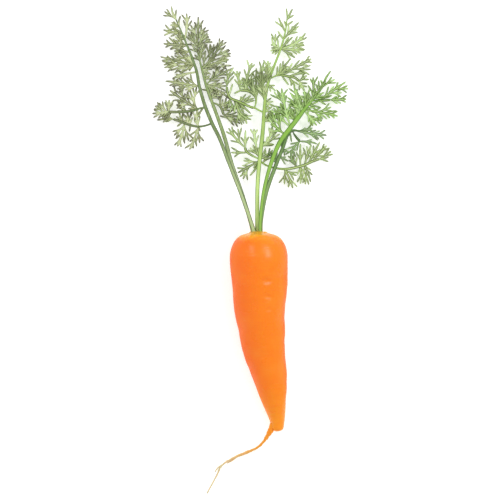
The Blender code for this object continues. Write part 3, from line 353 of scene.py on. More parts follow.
        (9.4, 97.8, 0, (13.8, 98.5, 9), ()),
        (20.8, 113.9, 0, (39.7, 124.3, 4.6), (
            (27.5, 121.4), (32, 123.6), (34.5, 123), (40, 122.3), (39.3, 117.3),
        )),
        (17.6, 113.6, 0, (26.1, 124, 5.4), ((17.9, 119.3), (20, 121.5), (21.8, 122.9), (24.7, 119.3))),
        (25, 112.9, 0, (34.5, 116, 4.8), ((35.8, 115),)),
        (20.5, 113.7, 0, (24.8, 107.6, 5.6), ()),
        (25, 112.6, 0, (29.2, 106.9, 4.6), ((27, 107.2),)),
        (31.8, 109.9, 0, (36.7, 113.4, 4.2), ((35.6, 115.6),)),
        (31.9, 109.9, 0, (35.4, 103.7, 3.6), ((37.1, 108.5), (32.5, 105.6), (36.9, 106.3))),
        (19.8, 129.3, 1.6, (13.5, 138.1, 6.4), ((16.6, 140.3), (18.1, 137.2), (13.8, 133.6))),
        (19.8, 129, 0, (13.6, 129.7, 6), ((14.1, 131.6), (14.6, 127.9), (16.3, 127.3))),
        (20.5, 130.1, 0, (34.8, 129.9, 3.8), ((33.9, 131.6), (32.6, 128.1), (30.6, 127.6))),
        (20.7, 130.7, 0, (27.5, 138.6, 5.6), ((23.9, 134.2), (25, 138.5))),
        (20.6, 130.3, -1.8, (36.5, 141, 3.6), ((30.7, 139.2), (32.8, 138.8), (36.9, 138.1), (35.3, 133.2))),
        (20.1, 128.6, 0, (29.3, 125.4, 4.4), ((27.6, 127.7), (26.3, 123.8))),
        (24.1, 149.5, 0, (27.6, 157, 2.4), ((23.7, 157.2),)),
        (23.7, 145.3, 0, (27.9, 149, 3.2), ()),
        (23.5, 144.6, 0, (22.6, 148.8, 3.8), ()),
        (22.2, 140.1, 0, (18.5, 151.1, 4), ((16.6, 149), (21.3, 145.8))),
        (22, 139.4, 0, (18, 142.3, 4.4), ()),
        (22, 138.1, 0, (31.5, 148.3, 3.8), ((27.6, 145.3), (26.3, 143), (31.5, 145.6), (30.9, 142.3))),
        (8.8, 83.5, 0, (19.2, 88.4, 10.6), ((12, 88.7), (15, 90.4), (15.9, 83.5))),
        (9.8, 96.5, 0, (16.4, 93.1, 9), ((12.7, 92),)),
        (9, 88.7, 0, (14, 93, 9.6), ((11.1, 93.6),)),
        (8.5, 84.8, 0, (17.9, 88.7, 9.4), ((12, 89.4), (14.6, 91.3), (13.3, 84.8), (17.2, 85.5))),
        (10.4, 98.5, 0.3, (8.1, 115.4, 9.6), (
            (5.5, 103.7), (4.2, 107.6), (5.5, 112.1), (10.7, 107.6), (10.7, 112.8),
        )),
        (4.2, 99.1, 0, (4.2, 118, 8.6), (
            (0.3, 106.3), (-0.3, 110.8), (1.6, 115.4), (6.8, 106.3), (8.1, 111.5), (7.5, 116),
        )),
        (2.3, 102.4, 0, (-2.3, 114.1, 8), ((-2.9, 106.3), (-4.2, 110.2), (-0.3, 110.8), (1, 107.6))),
        (11.4, 105, 0, (10.7, 121.2, 8.8), ((8.1, 113.4), (8.1, 119.3), (13.3, 114.7), (13.3, 119.3))),
        (-1.6, 103.4, 0, (-6.2, 110.2, 7.4), ((-7.5, 106.3), (-3.6, 110.2))),
        (34.8, 54.3, 0.3, (39.6, 44.5, 2.6), ((36.1, 42.9), (34.1, 47.8), (40.6, 49.1))),
        (8.1, 63.4, 0, (14, 71.2, 11.4), ((9.4, 69.9), (12, 72.5), (15.3, 67.9))),
        (12.3, 107.6, 0, (16.6, 103.7, 8.6), ((15.9, 106.9),)),
        (18.5, 112.8, 0, (25, 119.3, 6.6), ((20.5, 118.6), (23.1, 120.6), (25, 115.4))),
        (20.5, 129.7, 0, (26.3, 133.6, 4.2), ((23.1, 133.6), (25.7, 129.7))),
        (19.5, 126.4, 0, (15.9, 131.6, 5.2), ((15.3, 129),)),
        (-11.4, 97.8, 0, (-4.2, 92, 6), ((-8.8, 92), (-4.2, 95.9))),
        (8.1, 57.9, 0, (14.6, 64.7, 9.6), ((10.1, 64.7), (12.7, 66), (14.6, 60.8))),
    ),
    "frond_right_front": (
        (47.1, 105.6, 0.6, (52.3, 116.5, 6.2), ((54.9, 111),)),
        (44.5, 101.7, 0, (44.8, 109.9, 9.6), ((42.7, 107.8),)),
        (45.8, 103.7, 0, (49.4, 110.5, 8.6), ((46.9, 109.2),)),
        (41, 97.6, 0, (41.1, 111.9, 10.4), ((39.2, 111), (37.6, 106.9), (42.6, 105))),
        (47.5, 99, 0.2, (62.3, 109.3, 5.4), ((51.2, 105.9), (54.3, 106.5), (63.8, 105), (59.5, 102.4))),
        (52.3, 97.7, 0, (62.4, 98.2, 4.8), ((58, 99.8), (62.2, 96.3), (56.7, 95))),
        (45.5, 97.2, 0, (49.3, 94.4, 7.4), ()),
        (35.8, 91.7, 0.5, (56.9, 87.2, 5), (
            (52.5, 92.9), (56, 90.7), (54.9, 85.9), (51.9, 86), (50, 85.3), (47.1, 85.2),
        )),
        (35, 90.7, 0, (43.2, 81.2, 6), ((46.7, 84.2), (43.6, 84.4), (41, 80.9), (38.3, 83.3))),
        (36.1, 92.3, 0, (35.2, 103.4, 12.2), ((32.5, 100.4), (30.9, 96.5), (38.3, 102.4), (38.9, 98.5))),
        (38.7, 95.2, 0, (45.8, 92.6, 8.6), ((43.9, 96.2), (43.2, 90.7))),
        (33.5, 89, 0, (28.5, 106.3, 12.6), (
            (26, 102.4), (30.6, 104.3), (26.3, 96.5), (31.5, 97.8), (24.6, 99.1),
        )),
        (25.4, 79, 0.6, (20.5, 104.7, 12.8), (
            (15.5, 102.4), (16.6, 93.3), (24.1, 104.3), (22.6, 100.4), (25.3, 93.3),
        )),
        (22.8, 76.4, 0.6, (12, 85.2, 13.4), ((14.6, 88.7), (17.9, 87.4), (13.7, 81.6))),
        (28.9, 83.9, 0, (27, 91.3, 13.4), ((25, 88.1), (29.2, 91.3))),
        (28.3, 82.9, 0, (19.8, 95.2, 13), ((21.8, 86.8), (17.9, 89.4), (22.4, 93.9), (25.7, 93.3))),
        (30.9, 86.1, 0, (27.6, 95.2, 12.6), ((24.4, 90.7), (30.9, 93.9), (25.7, 94.6))),
        (34.8, 91.3, 0, (30.9, 102.4, 12), ((27, 97.2), (28.3, 100.4), (33.5, 99.8), (34.8, 96.5))),
        (37.4, 93.6, 0, (36.1, 102.4, 11.4), ((32.8, 99.1), (34.8, 102.4), (38.7, 100.4), (40, 97.8))),
        (39, 95.9, 0, (41.9, 103.7, 10.8), ((38, 101.7), (40, 103.7), (43.2, 101.1))),
        (25.7, 79.6, 0, (15.9, 89.4, 13.2), ((17.2, 85.5), (13.3, 86.8), (15.3, 92), (20.5, 90))),
        (41.3, 97.8, 0, (47.8, 102.4, 9.6), ((43.2, 103), (45.8, 105), (48.4, 99.8))),
        (36.7, 92.6, 0, (41.3, 89.4, 9.8), ((38, 88.7), (41.9, 92.6))),
    ),
    "frond_right_back": (
        (32.8, 77.2, 0, (40.2, 79.1, 4.4), ((35.8, 79.4), (40.8, 77.5))),
        (30.2, 77, -0.4, (49.6, 74.9, 2.8), ((45.2, 77.7), (48.2, 72.5), (44.2, 71.6), (38, 73.5))),
        (32.5, 70.7, 0.3, (43.7, 69.5, 5.6), ((39.6, 68.4), (40, 71.8))),
        (32.5, 70.7, -3.6, (28.5, 54.5, 6.6), ((26.5, 68.7), (29.2, 64.7), (29.9, 60.8))),
        (17.9, 59.1, 0, (24.8, 57.7, 10.8), ((23.1, 60.3),)),
        (17.6, 58.2, 0, (14.5, 63.1, 12.8), ((16.2, 64), (14, 59.5))),
        (26, 76, 0, (27, 70.5, 8), ()),
        (20.5, 66.6, 0, (27, 63.4, 9), ((22.4, 61.4), (27, 66.6))),
        (23.7, 72.5, 0, (20.5, 67.3, 9.2), ()),
    ),
}

# Fine creases that cross the skin for a short way: how many, from which Y and over what length of the root,
# how far they reach round it in degrees, how wide and how deep.
CREASE_COUNT = 58
CREASES_FROM_Y = 2
CREASES_LENGTH = 116
CREASE_REACH = (8, 34)
CREASE_WIDTH = (0.35, 0.75)
CREASE_DEPTH = (0.03, 0.1)
# The deepest ones, which catch the light: Y, width, depth, facing in degrees and reach in degrees.
DEEP_CREASES = (
    (-20.4, 2.2, 1.0, 73, 15),
    (-29.6, 1.9, 0.75, 71, 12),
    (-38.2, 1.8, 0.65, 70, 10),
)
# A crease wavers along the root as it goes round. A lip stands beside it: its share of the depth, and how
# many of the crease's widths away it is. Further off than some widths, there is nothing left of either.
CREASE_WAVER = 0.5
CREASE_WAVES = 3
LIP_SHARE = 0.5
LIP_WIDTHS = 1.7
CREASE_END_WIDTHS = 4
# The crown: puckers round the stalks, and the dish that they stand in. Both come in over a rise in Y, and the
# puckers over a radius too.
PUCKER_COUNT = 9
PUCKER_DEPTH = 0.5
PUCKER_RADIUS = 6
CROWN_FROM_Y = 7.5
CROWN_RISE = 3
DISH_RADIUS = 5.6
DISH_DEPTH = 1.1

# Fine rootlets: how many on the tail and on the root's lower half, how long and thick, and what share of that
# length each kind has.
ROOTLET_STEPS = 5
ROOTLET_SIDES = 5
TAIL_ROOTLETS = 9
ROOT_ROOTLETS = 5
ROOTLET_LENGTH = (2.2, 7.0)
ROOTLET_RADIUS = (0.1, 0.2)
TAIL_ROOTLET_SHARE = 0.6
ROOT_ROOTLET_SHARE = 0.7
ROOT_ROOTLETS_Y = (-108, -50)
# One thins by a share of its radius, turns at each step, sinks by a share of its height and stays clear of the floor.
ROOTLET_THINS = 0.75
ROOTLET_TURN = 0.35
ROOTLET_SINKS = 0.3
ROOTLET_CLEAR = 0.03
# Where on the tail they start, as shares of it, and at what angle to it, in radians
TAIL_ROOTLETS_ALONG = (0.3, 0.97)
TAIL_ROOTLET_ANGLE = (0.35, 1.1)
# On the root: how high on its side, in degrees, how deep in its skin, and how far they lean towards the tail
ROOT_ROOTLET_LIFT = (-50, 5)
ROOT_ROOTLET_DEPTH = 0.35
ROOT_ROOTLET_LEAN = (0.2, 1.1)

# The stalks: steps between two rows, sides of their section, how many ridges run along them and how deep, the
# channel on top, and the sheath at the crown.
STALK_STEPS = 6
STALK_SIDES = 30
STALK_RIDGES = 10
RIDGE_STEP = STALK_SIDES // STALK_RIDGES
RIDGE_DEPTH = 0.1
CHANNEL_DEPTH = 0.2
CHANNEL_ABOVE = 0.8
SHEATH_SWELL = 0.12
SHEATH_LENGTH = 5.0
SHEATH_FROM_Y = 10.5

# The blades. A pinna's midrib widens from the first half width to the second, and so does the wing of a bare
# rib. Its side branches, the pinnules, lean forwards by an angle where the midrib is long enough, and hang or
# rise by up to a share of their length.
MIDRIB_HALF_WIDTHS = (0.62, 0.95)
WING_HALF_WIDTHS = (0.45, 0.95)
PALM_HALF_WIDTHS = (0.62, 0.78)
NODE_LENGTH = 1.7
RIB_STEP = 2.4
PINNULE_ANGLE = math.radians(33)
PINNULE_DROOP = 0.14
# How much of the midrib's slope a pinnule takes over
PINNULE_SLOPE = 0.7
FIRST_NODE = 1.0
LAST_NODE = 1.2
END_LOBE = 4.4
# What grows on the side of a node that has no pinnule of its own
SMALL_LOBE = (2.6, 4.6)
NODE_GAP = 0.3
# A branch longer than the longest lobe forks in pairs, between two shares of its length. Each pair is shorter
# than the one before it.
LONGEST_LOBE = 6.2
FORKS_FROM = 0.34
FORKS_END = 0.4
FORK_LESS = 0.06
FORK_SPACING = 3.3
FORK_ANGLE = math.radians(25)
FORK_SHARE = 0.54
LENGTH_SPREAD = 0.2
ANGLE_SPREAD = math.radians(7)
PITCH_SPREAD = math.radians(7)
LOWEST_LEAF = 0.46
LOBE_CURL = (-0.16, 0.08)
LOBE_SWAY = 0.08
# A lobe reaches a little past its tip, because its mesh is rounded off afterwards.
LOBE_EXTRA = 0.45
# A lobe's rows: the share of its length, the times of its half width, and its mark for the dry tip.
LOBE_ROWS = ((0.3, 0.9, 0.2), (0.6, 1.0, 0.5), (0.88, 0.72, 0.85), (1.0, 0.15, 1.0))

LEAF_SLOTS = {
    "frond_left_front": "olive_leaf",
    "frond_left_back": "grey_leaf",
    "frond_middle": "fresh_leaf",
    "frond_right_front": "bright_leaf",
    "frond_right_back": "dark_leaf",
}


def screen(red, green, blue):
    """A colour as a screen shows it, 0 to 255, in the linear values that a shader takes."""
    return tuple(((c / 255 + 0.055) / 1.055) ** 2.4 for c in (red, green, blue))


def colour_setting(name, description, colour):
    """A colour in the panel."""
    return FloatVectorProperty(
        name=name, description=description, subtype="COLOR", min=0, max=1, default=colour
    )


class CarrotRootSettings(bpy.types.PropertyGroup):
    """Sizes and colours of the root."""

    skin: colour_setting("Skin", "Main colour of the root", screen(255, 131, 12))
    flank: colour_setting("Flank", "Redder colour of its left side", screen(255, 112, 26))
    crown: colour_setting("Crown", "Colour round the stalks", screen(255, 168, 20))
    tip: colour_setting("Tip", "Colour of the blunt end", screen(255, 150, 20))
    tail: colour_setting("Tail", "Colour of the tail's thin end", screen(228, 212, 168))
    crease_depth: FloatProperty(
        name="Crease depth", description="Times the depth of the creases", default=1.0, min=0, max=3
    )
    rootlets: IntProperty(
        name="Rootlets", description="Fine rootlets on the tail", default=TAIL_ROOTLETS, min=0, max=80
    )


class CarrotLeafSettings(bpy.types.PropertyGroup):
    """Sizes and colours of the leaves."""

    thickness: FloatProperty(
        name="Blade thickness", description="Thickness of a leaf", unit="LENGTH",
        default=0.00042, min=0.0002, max=0.001,
    )
    lobe_half_width: FloatProperty(
        name="Lobe half width", description="Half the width of a lobe, in mm", default=0.68, min=0.3, max=1.4
    )
    fold: FloatProperty(
        name="Fold", description="How far a lobe's edges rise, as a share of its half width",
        default=0.3, min=0, max=1,
    )
    olive_leaf: colour_setting("Olive leaf", "Left front leaf", screen(142, 154, 86))
    grey_leaf: colour_setting("Grey leaf", "Left back leaf", screen(136, 150, 86))
    fresh_leaf: colour_setting("Fresh leaf", "Middle leaf", screen(142, 167, 82))
    bright_leaf: colour_setting("Bright leaf", "Right front leaf", screen(122, 163, 44))
    dark_leaf: colour_setting("Dark leaf", "Right back leaf", screen(116, 152, 70))


class CarrotStageSettings(bpy.types.PropertyGroup):
    """The floor, the lights and the camera."""

    floor: colour_setting("Floor", "Colour of the floor", (0.94, 0.94, 0.94))
    sky: FloatProperty(
        name="Sky", description="Strength of the even light from all round", default=0.74, min=0, max=3
    )
    lamp: FloatProperty(
        name="Softboxes", description="Power that each softbox has a share of", unit="POWER",
        default=2.9, min=0, max=50,
    )
    camera_height: FloatProperty(
        name="Camera height", description="Height of the camera over the floor", unit="LENGTH",
        default=3.0, min=1, max=8,
    )


def place(x, y, z):
    """A point of the tables, in metres from the object's origin."""
    return Vector((x - MIDDLE_X, y - MIDDLE_Y, z)) * MM


def smooth(stations, steps):
    """Rows read off a Catmull-Rom curve through the given rows, with this many steps between two of them."""
    rows = [Vector(s) for s in stations]
    rows = [2 * rows[0] - rows[1], *rows, 2 * rows[-1] - rows[-2]]
    found = []
    for a, b, c, d in zip(rows, rows[1:], rows[2:], rows[3:]):
        for i in range(steps):
            t = i / steps
            bend = (2 * a - 5 * b + 4 * c - d) * t**2 + (3 * b - a - 3 * c + d) * t**3
            found.append(0.5 * (2 * b + (c - a) * t + bend))
    return [*found, rows[-2]]


def clear_selection():
    """Leaves nothing selected, so that an operator acts on its own new primitive alone."""
    if bpy.context.mode != "OBJECT":
        bpy.ops.object.mode_set(mode="OBJECT")
    bpy.ops.object.select_all(action="DESELECT")


def select_only(*pieces):
    """Selects these pieces, and makes the first one active."""
    clear_selection()
    for piece in pieces:
        piece.select_set(True)
    bpy.context.view_layer.objects.active = pieces[0]


def settle(piece, name):
    """Names a finished piece and puts its place into its mesh."""
    select_only(piece)
    bpy.ops.object.transform_apply(location=True, rotation=True, scale=True)
    piece.name = name
    piece.data.name = name
    return piece


def finish_modifiers(piece):
    """Applies a piece's modifiers in their order."""
    select_only(piece)
    for modifier in list(piece.modifiers):
        bpy.ops.object.modifier_apply(modifier=modifier.name)


def face_outwards(piece):
    """Merges doubles and turns a closed mesh's faces outwards."""
    select_only(piece)
    bpy.ops.object.mode_set(mode="EDIT")
    bpy.ops.mesh.select_all(action="SELECT")
    bpy.ops.mesh.remove_doubles(threshold=0.00001)
    bpy.ops.mesh.normals_make_consistent(inside=False)
    bpy.ops.object.mode_set(mode="OBJECT")


def join(pieces, name):
    """Joins pieces into the first of them."""
    select_only(*pieces)
    if len(pieces) > 1:
        bpy.ops.object.join()
    return settle(pieces[0], name)


def shade_round(piece):
    """Shades a piece smooth."""
    select_only(piece)
    bpy.ops.object.shade_smooth()


def set_mark(piece, name, values):
    """Stores a number at each point of a mesh, for its material to read."""
    mark = piece.data.attributes.get(name) or piece.data.attributes.new(name, "FLOAT", "POINT")
    mark.data.foreach_set("value", values)


def round_section(sides):
    """A closed curve of radius 1, to sweep a plain round tube with."""
    clear_selection()
    bpy.ops.mesh.primitive_circle_add(vertices=sides, radius=1.0)
    section = bpy.context.object
    bpy.ops.object.convert(target="CURVE")
    section.name = "round_section"
    return section


def ridged_section():
    """A closed curve of radius 1 with a row of ridges, and a shallow channel on its upper side."""
    clear_selection()
    bpy.ops.mesh.primitive_circle_add(vertices=STALK_SIDES, radius=1.0)
    section = bpy.context.object
    bpy.ops.object.mode_set(mode="EDIT")
    bpy.ops.mesh.select_all(action="DESELECT")
    bpy.ops.object.mode_set(mode="OBJECT")
    for i, vertex in enumerate(section.data.vertices):
        vertex.select = i % RIDGE_STEP == 0
    bpy.ops.object.mode_set(mode="EDIT")
    shrink = 1 - RIDGE_DEPTH
    bpy.ops.transform.resize(value=(shrink, shrink, 1.0), center_override=(0.0, 0.0, 0.0))
    bpy.ops.object.mode_set(mode="OBJECT")
    for vertex in section.data.vertices:
        vertex.select = vertex.co.y > CHANNEL_ABOVE
    bpy.ops.object.mode_set(mode="EDIT")
    bpy.ops.transform.translate(value=(0.0, -CHANNEL_DEPTH, 0.0))
    bpy.ops.object.mode_set(mode="OBJECT")
    bpy.ops.object.convert(target="CURVE")
    section.name = "ridged_section"
    return section


def swept(name, rows, section):
    """A closed tube along rows of X, Y, Z and radius, whose section is a curve of radius 1."""
    clear_selection()
    bpy.ops.curve.primitive_bezier_curve_add()
    tube = bpy.context.object
    tube.data.splines.clear()
    spline = tube.data.splines.new("POLY")
    spline.points.add(len(rows) - 1)
    for point, row in zip(spline.points, rows):
        point.co = (*place(*row[:3]), 1.0)
        point.radius = row[3] * MM
    tube.data.twist_mode = "Z_UP"
    tube.data.bevel_mode = "OBJECT"
    tube.data.bevel_object = section
    tube.data.use_fill_caps = True
    bpy.ops.object.convert(target="MESH")
    tube.name = name
    return tube


def drawn_out(name, rings, sides):
    """A closed body drawn out of one circle along Y. A ring is the X, Y, Z and radius of its circle."""
    clear_selection()
    x, y, z, radius = rings[0]
    bpy.ops.mesh.primitive_circle_add(
        vertices=sides, radius=radius * MM, location=place(x, y, z), rotation=(math.pi / 2, 0.0, 0.0)
    )
    body = bpy.context.object
    body.name = name
    bpy.ops.object.transform_apply(location=True, rotation=True, scale=True)
    bpy.ops.object.mode_set(mode="EDIT")
    bpy.ops.mesh.select_mode(type="VERT")
    bpy.ops.mesh.select_all(action="SELECT")
    for near, far in zip(rings, rings[1:]):
        to = place(*far[:3])
        bpy.ops.mesh.extrude_region_move(TRANSFORM_OT_translate={"value": to - place(*near[:3])})
        share = far[3] / near[3]
        bpy.ops.transform.resize(value=(share, share, share), center_override=to)
    bpy.ops.mesh.select_all(action="DESELECT")
    bpy.ops.mesh.select_non_manifold()
    bpy.ops.mesh.edge_face_add()
    bpy.ops.mesh.poke()
    bpy.ops.object.mode_set(mode="OBJECT")
    return body


def turned(angle, facing):
    """How far one direction round the root is turned from another, from half a turn back to half a turn on."""
    return (angle - facing + math.pi) % (2 * math.pi) - math.pi


def crease_dip(off, width):
    """How deep a crease is beside its middle, as a share of its depth. Its lip counts below nothing."""
    return math.exp(-((off / width) ** 2)) - LIP_SHARE * math.exp(-(((off - LIP_WIDTHS * width) / width) ** 2))


def skin_relief(y, angle, creases):
    """How far the root's skin stands out at a place along and round it: slow swellings, rings and creases."""
    relief = LUMP_DEPTH * math.sin(LUMP_TURNS * angle + 2 * math.pi * y / LUMP_LENGTH)
    low_wave = 2 * angle - 2 * math.pi * y / (LOW_LUMP_TIMES * LUMP_LENGTH)
    relief += LOW_LUMP_SHARE * LUMP_DEPTH * math.sin(low_wave)
    for centre, width, depth, facing in SKIN_RINGS:
        turn = turned(angle, math.radians(facing))
        relief -= depth * math.exp(-((turn / RING_SPREAD) ** 2) - ((y - centre) / width) ** 2)
    for centre, width, depth, facing, reach in creases:
        off = y - centre - CREASE_WAVER * math.sin(CREASE_WAVES * angle + centre)
        if abs(off) < CREASE_END_WIDTHS * width:
            fade = math.exp(-((turned(angle, facing) / reach) ** 2))
            relief -= depth * crease_dip(off, width) * fade
    return relief


def all_creases():
    """Where the deep and the fine creases lie: Y, width, depth, facing and reach."""
    draw = random.Random("creases")
    creases = []
    for y, width, depth, facing, reach in DEEP_CREASES:
        creases.append((y, width, depth, math.radians(facing), math.radians(reach)))
    for i in range(CREASE_COUNT):
        y = CREASES_FROM_Y - CREASES_LENGTH * (i + draw.random()) / CREASE_COUNT
        reach = math.radians(draw.uniform(*CREASE_REACH))
        width = draw.uniform(*CREASE_WIDTH)
        depth = draw.uniform(*CREASE_DEPTH)
        creases.append((y, width, depth, draw.uniform(0, 2 * math.pi), reach))
    return creases


def crown_share(y):
    """How much of the crown's form there is at a place along the root, from 0 to 1."""
    return max(0.0, min(1.0, (y - CROWN_FROM_Y) / CROWN_RISE))


def pucker(y, angle):
    """How far the shoulder's skin is drawn in between the puckers round the stalks."""
    return -PUCKER_DEPTH * crown_share(y) * (0.5 + 0.5 * math.sin(PUCKER_COUNT * angle + math.sin(2 * angle)))


def carve_skin(root, depth_times):
    """Moves the smooth root's points to its skin, presses its underside flat and marks its left side."""
    rows = smooth(ROOT_STATIONS, 4 * ROOT_STEPS)
    creases = [(y, width, depth * depth_times, *way) for y, width, depth, *way in all_creases()]
    left_side = []
    for vertex in root.data.vertices:
        y = vertex.co.y / MM + MIDDLE_Y
        row = min(rows, key=lambda r: abs(r[0] - y))
        dx = vertex.co.x / MM + MIDDLE_X - row[1]
        dz = vertex.co.z / MM - row[2]
        angle = math.atan2(dz, dx)
        radius = math.hypot(dx, dz)
        share = min(1.0, radius / RELIEF_RADIUS)
        grown = radius + share * skin_relief(y, angle, creases)
        grown += pucker(y, angle) * min(1.0, radius / PUCKER_RADIUS)
        z = row[2] + grown * math.sin(angle)
        y -= DISH_DEPTH * max(0.0, 1 - (radius / DISH_RADIUS) ** 2) * crown_share(y)
        vertex.co = place(row[1] + grown * math.cos(angle), y, 0.0 if z < FLAT_BELOW else z)
        left_side.append(-math.cos(angle) * share)
    set_mark(root, "left_side", left_side)
    set_mark(root, "tail", [0.0] * len(root.data.vertices))


def tail_rows():
    """The tail's rows, a little uneven in thickness and course, as a dried root tip is."""
    draw = random.Random("tail")
    uneven = []
    for i, (x, y, z, radius) in enumerate(smooth(TAIL, TAIL_STEPS)):
        share = min(1.0, i / TAIL_EVEN_ROWS)
        radius *= 1 + share * draw.uniform(-TAIL_UNEVEN, TAIL_UNEVEN)
        x += share * draw.uniform(-TAIL_WANDER, TAIL_WANDER)
        y += share * draw.uniform(-TAIL_WANDER, TAIL_WANDER)
        uneven.append((x, y, max(z, radius + TAIL_CLEAR), radius))
    return uneven


def tail_share(y):
    """How far along the tail a place is, from 0 at the root to 1 at its thin end."""
    return max(0.0, min(1.0, (TAIL_FROM_Y - y) / TAIL_LENGTH))


def build_root(settings):
    """The root with its tail grown out of its end."""
    rows = [row for row in smooth(ROOT_STATIONS, ROOT_STEPS) if row[3] > 0.5]
    root = drawn_out("carrot_root", [(row[1], row[0], row[2], row[3]) for row in rows], ROOT_SIDES)
    face_outwards(root)
    rounder = root.modifiers.new("rounder", "SUBSURF")
    rounder.levels = rounder.render_levels = 2
    finish_modifiers(root)
    carve_skin(root, settings.crease_depth)
    section = round_section(TAIL_SIDES)
    tail = swept("tail", tail_rows(), section)
    face_outwards(tail)
    pieces = [root, tail]
    for i, rootlet in enumerate(ROOTLETS):
        piece = swept(f"rootlet_{i}", smooth(rootlet, 4), section)
        face_outwards(piece)
        pieces.append(piece)
    for piece in pieces[1:]:
        set_mark(piece, "tail", [tail_share(v.co.y / MM + MIDDLE_Y) for v in piece.data.vertices])
        set_mark(piece, "left_side", [0.0] * len(piece.data.vertices))
    bpy.data.objects.remove(section)
    root = join(pieces, "carrot_root")
    root.data.materials.append(root_material(settings))
    shade_round(root)
    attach(root, "root")
    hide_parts("root")
    return root


def fine_rootlet(draw, start, heading, length_share, section):
    """A fine rootlet, which wanders and sinks to the floor."""
    length = draw.uniform(*ROOTLET_LENGTH) * length_share
    radius = draw.uniform(*ROOTLET_RADIUS)
    rows = []
    point = Vector(start)
    for i in range(ROOTLET_STEPS + 1):
        thickness = radius * (1 - ROOTLET_THINS * i / ROOTLET_STEPS)
        rows.append((point.x, point.y, max(point.z, thickness + ROOTLET_CLEAR), thickness))
        heading = heading + draw.uniform(-ROOTLET_TURN, ROOTLET_TURN)
        point = point + Vector((math.cos(heading), math.sin(heading), 0.0)) * length / ROOTLET_STEPS
        point.z -= ROOTLET_SINKS * max(0.0, point.z - radius) / ROOTLET_STEPS
    return swept("fine_rootlet", rows, section)


def tail_rootlet(draw, section):
    """A fine rootlet that leaves the tail forwards to one side."""
    route = smooth(TAIL, TAIL_STEPS)
    i = int(draw.uniform(*TAIL_ROOTLETS_ALONG) * len(route))
    row = route[i]
    ahead = route[i + 1]
    heading = math.atan2(ahead[1] - row[1], ahead[0] - row[0])
    heading += draw.choice((-1, 1)) * draw.uniform(*TAIL_ROOTLET_ANGLE)
    return fine_rootlet(draw, row[:3], heading, TAIL_ROOTLET_SHARE, section)


def root_rootlet(draw, section):
    """A fine rootlet on a side of the root's lower half, at the row that lies nearest to a draw of its own."""
    rows = smooth(ROOT_STATIONS, ROOT_STEPS)
    row = min(rows, key=lambda r: abs(r[0] - draw.uniform(*ROOT_ROOTLETS_Y)))
    side = draw.choice((-1, 1))
    lift = math.radians(draw.uniform(*ROOT_ROOTLET_LIFT))
    reach = row[3] - ROOT_ROOTLET_DEPTH
    start = (row[1] + side * reach * math.cos(lift), row[0], row[2] + reach * math.sin(lift))
    heading = (0.0 if side > 0 else math.pi) - side * draw.uniform(*ROOT_ROOTLET_LEAN)
    return fine_rootlet(draw, start, heading, ROOT_ROOTLET_SHARE, section)


def build_rootlets(settings):
    """Fine rootlets along the tail and on the root's lower half."""
    draw = random.Random("rootlets")
    section = round_section(ROOTLET_SIDES)
    pieces = [tail_rootlet(draw, section) for _ in range(settings.rootlets)]
    pieces += [root_rootlet(draw, section) for _ in range(ROOT_ROOTLETS)]
    bpy.data.objects.remove(section)
    rootlets = join(pieces, "fine_rootlets")
    face_outwards(rootlets)
    rootlets.data.materials.append(rootlet_material(settings))
    shade_round(rootlets)
    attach(rootlets, "root")
    return rootlets


class Blade:
    """A leaf's sheet while it grows: its points, its faces, and each point's marks for the material."""

    def __init__(self, half_width, fold):
        self.points = []
        self.faces = []
        self.marks = []
        self.half_width = half_width
        self.fold = fold
        # A share drawn at random for each lobe, which the leaf's material turns into painted shade or painted
        # highlight.
        self.age = 0.0

    def point(self, place_at, tip, vein):
        place_at.z = max(place_at.z, LOWEST_LEAF * MM)
        self.points.append(place_at)
        self.marks.append((tip, vein, self.age))
        return len(self.points) - 1

    def section(self, middle, side, normal, half_width, tip=0.0):
        """A row of three points across a branch, whose outer two stand higher than its vein."""
        reach = side * half_width * MM
        rise = normal * self.fold * half_width * MM
        left = self.point(middle - reach + rise, tip, 0.0)
        vein = self.point(middle.copy(), tip, 1.0)
        right = self.point(middle + reach + rise, tip, 0.0)
        return left, vein, right

    def strip(self, low, high):
        self.faces.append((low[0], low[1], high[1], high[0]))
        self.faces.append((low[1], low[2], high[2], high[1]))

    def forked_strip(self, low, high):
        """A strip with a point more on each outer edge. It returns the bases of the two branches there."""
        left = self.point((self.points[low[0]] + self.points[high[0]]) / 2, 0.0, 1.0)
        right = self.point((self.points[low[2]] + self.points[high[2]]) / 2, 0.0, 1.0)
        self.faces.append((low[0], low[1], high[1], high[0], left))
        self.faces.append((low[1], low[2], right, high[2], high[1]))
        return (low[0], left, high[0]), (high[2], right, low[2])

    def middle_of(self, base):
        return (self.points[base[0]] + self.points[base[2]]) / 2


def upper_side(heading):
    """The way that a blade faces, as near to straight up as its heading allows."""
    return heading.cross(UP).normalized().cross(heading)


def widened(half_widths, share):
    """A half width between the first and the second."""
    return half_widths[0] + (half_widths[1] - half_widths[0]) * share


def side_heading(heading, normal, angle, draw):
    """The heading and normal of a branch that leaves to the right, a little above or below the blade."""
    angle += draw.uniform(-ANGLE_SPREAD, ANGLE_SPREAD)
    pitch = draw.uniform(-PITCH_SPREAD, PITCH_SPREAD)
    flat = heading * math.cos(angle) + heading.cross(normal) * math.sin(angle)
    out = flat * math.cos(pitch) + normal * math.sin(pitch)
    return out, normal * math.cos(pitch) - flat * math.sin(pitch)


def grow_lobe(blade, base, start, heading, normal, reached, length, draw):
    """The plain end of a branch: a narrow lobe that curls and sways a little, with a blunt tip."""
    side = heading.cross(normal)
    blade.age = draw.random()
    curl = draw.uniform(*LOBE_CURL)
    sway = draw.uniform(-LOBE_SWAY, LOBE_SWAY)
    room = length - reached + LOBE_EXTRA
    for share, half_width, tip in LOBE_ROWS:
        along = reached + share * room
        bend = (normal * curl + side * sway) * room * share**2
        middle = start + (heading * along + bend) * MM
        high = blade.section(middle, side, normal, blade.half_width * half_width, tip)
        blade.strip(base, high)
        base = high


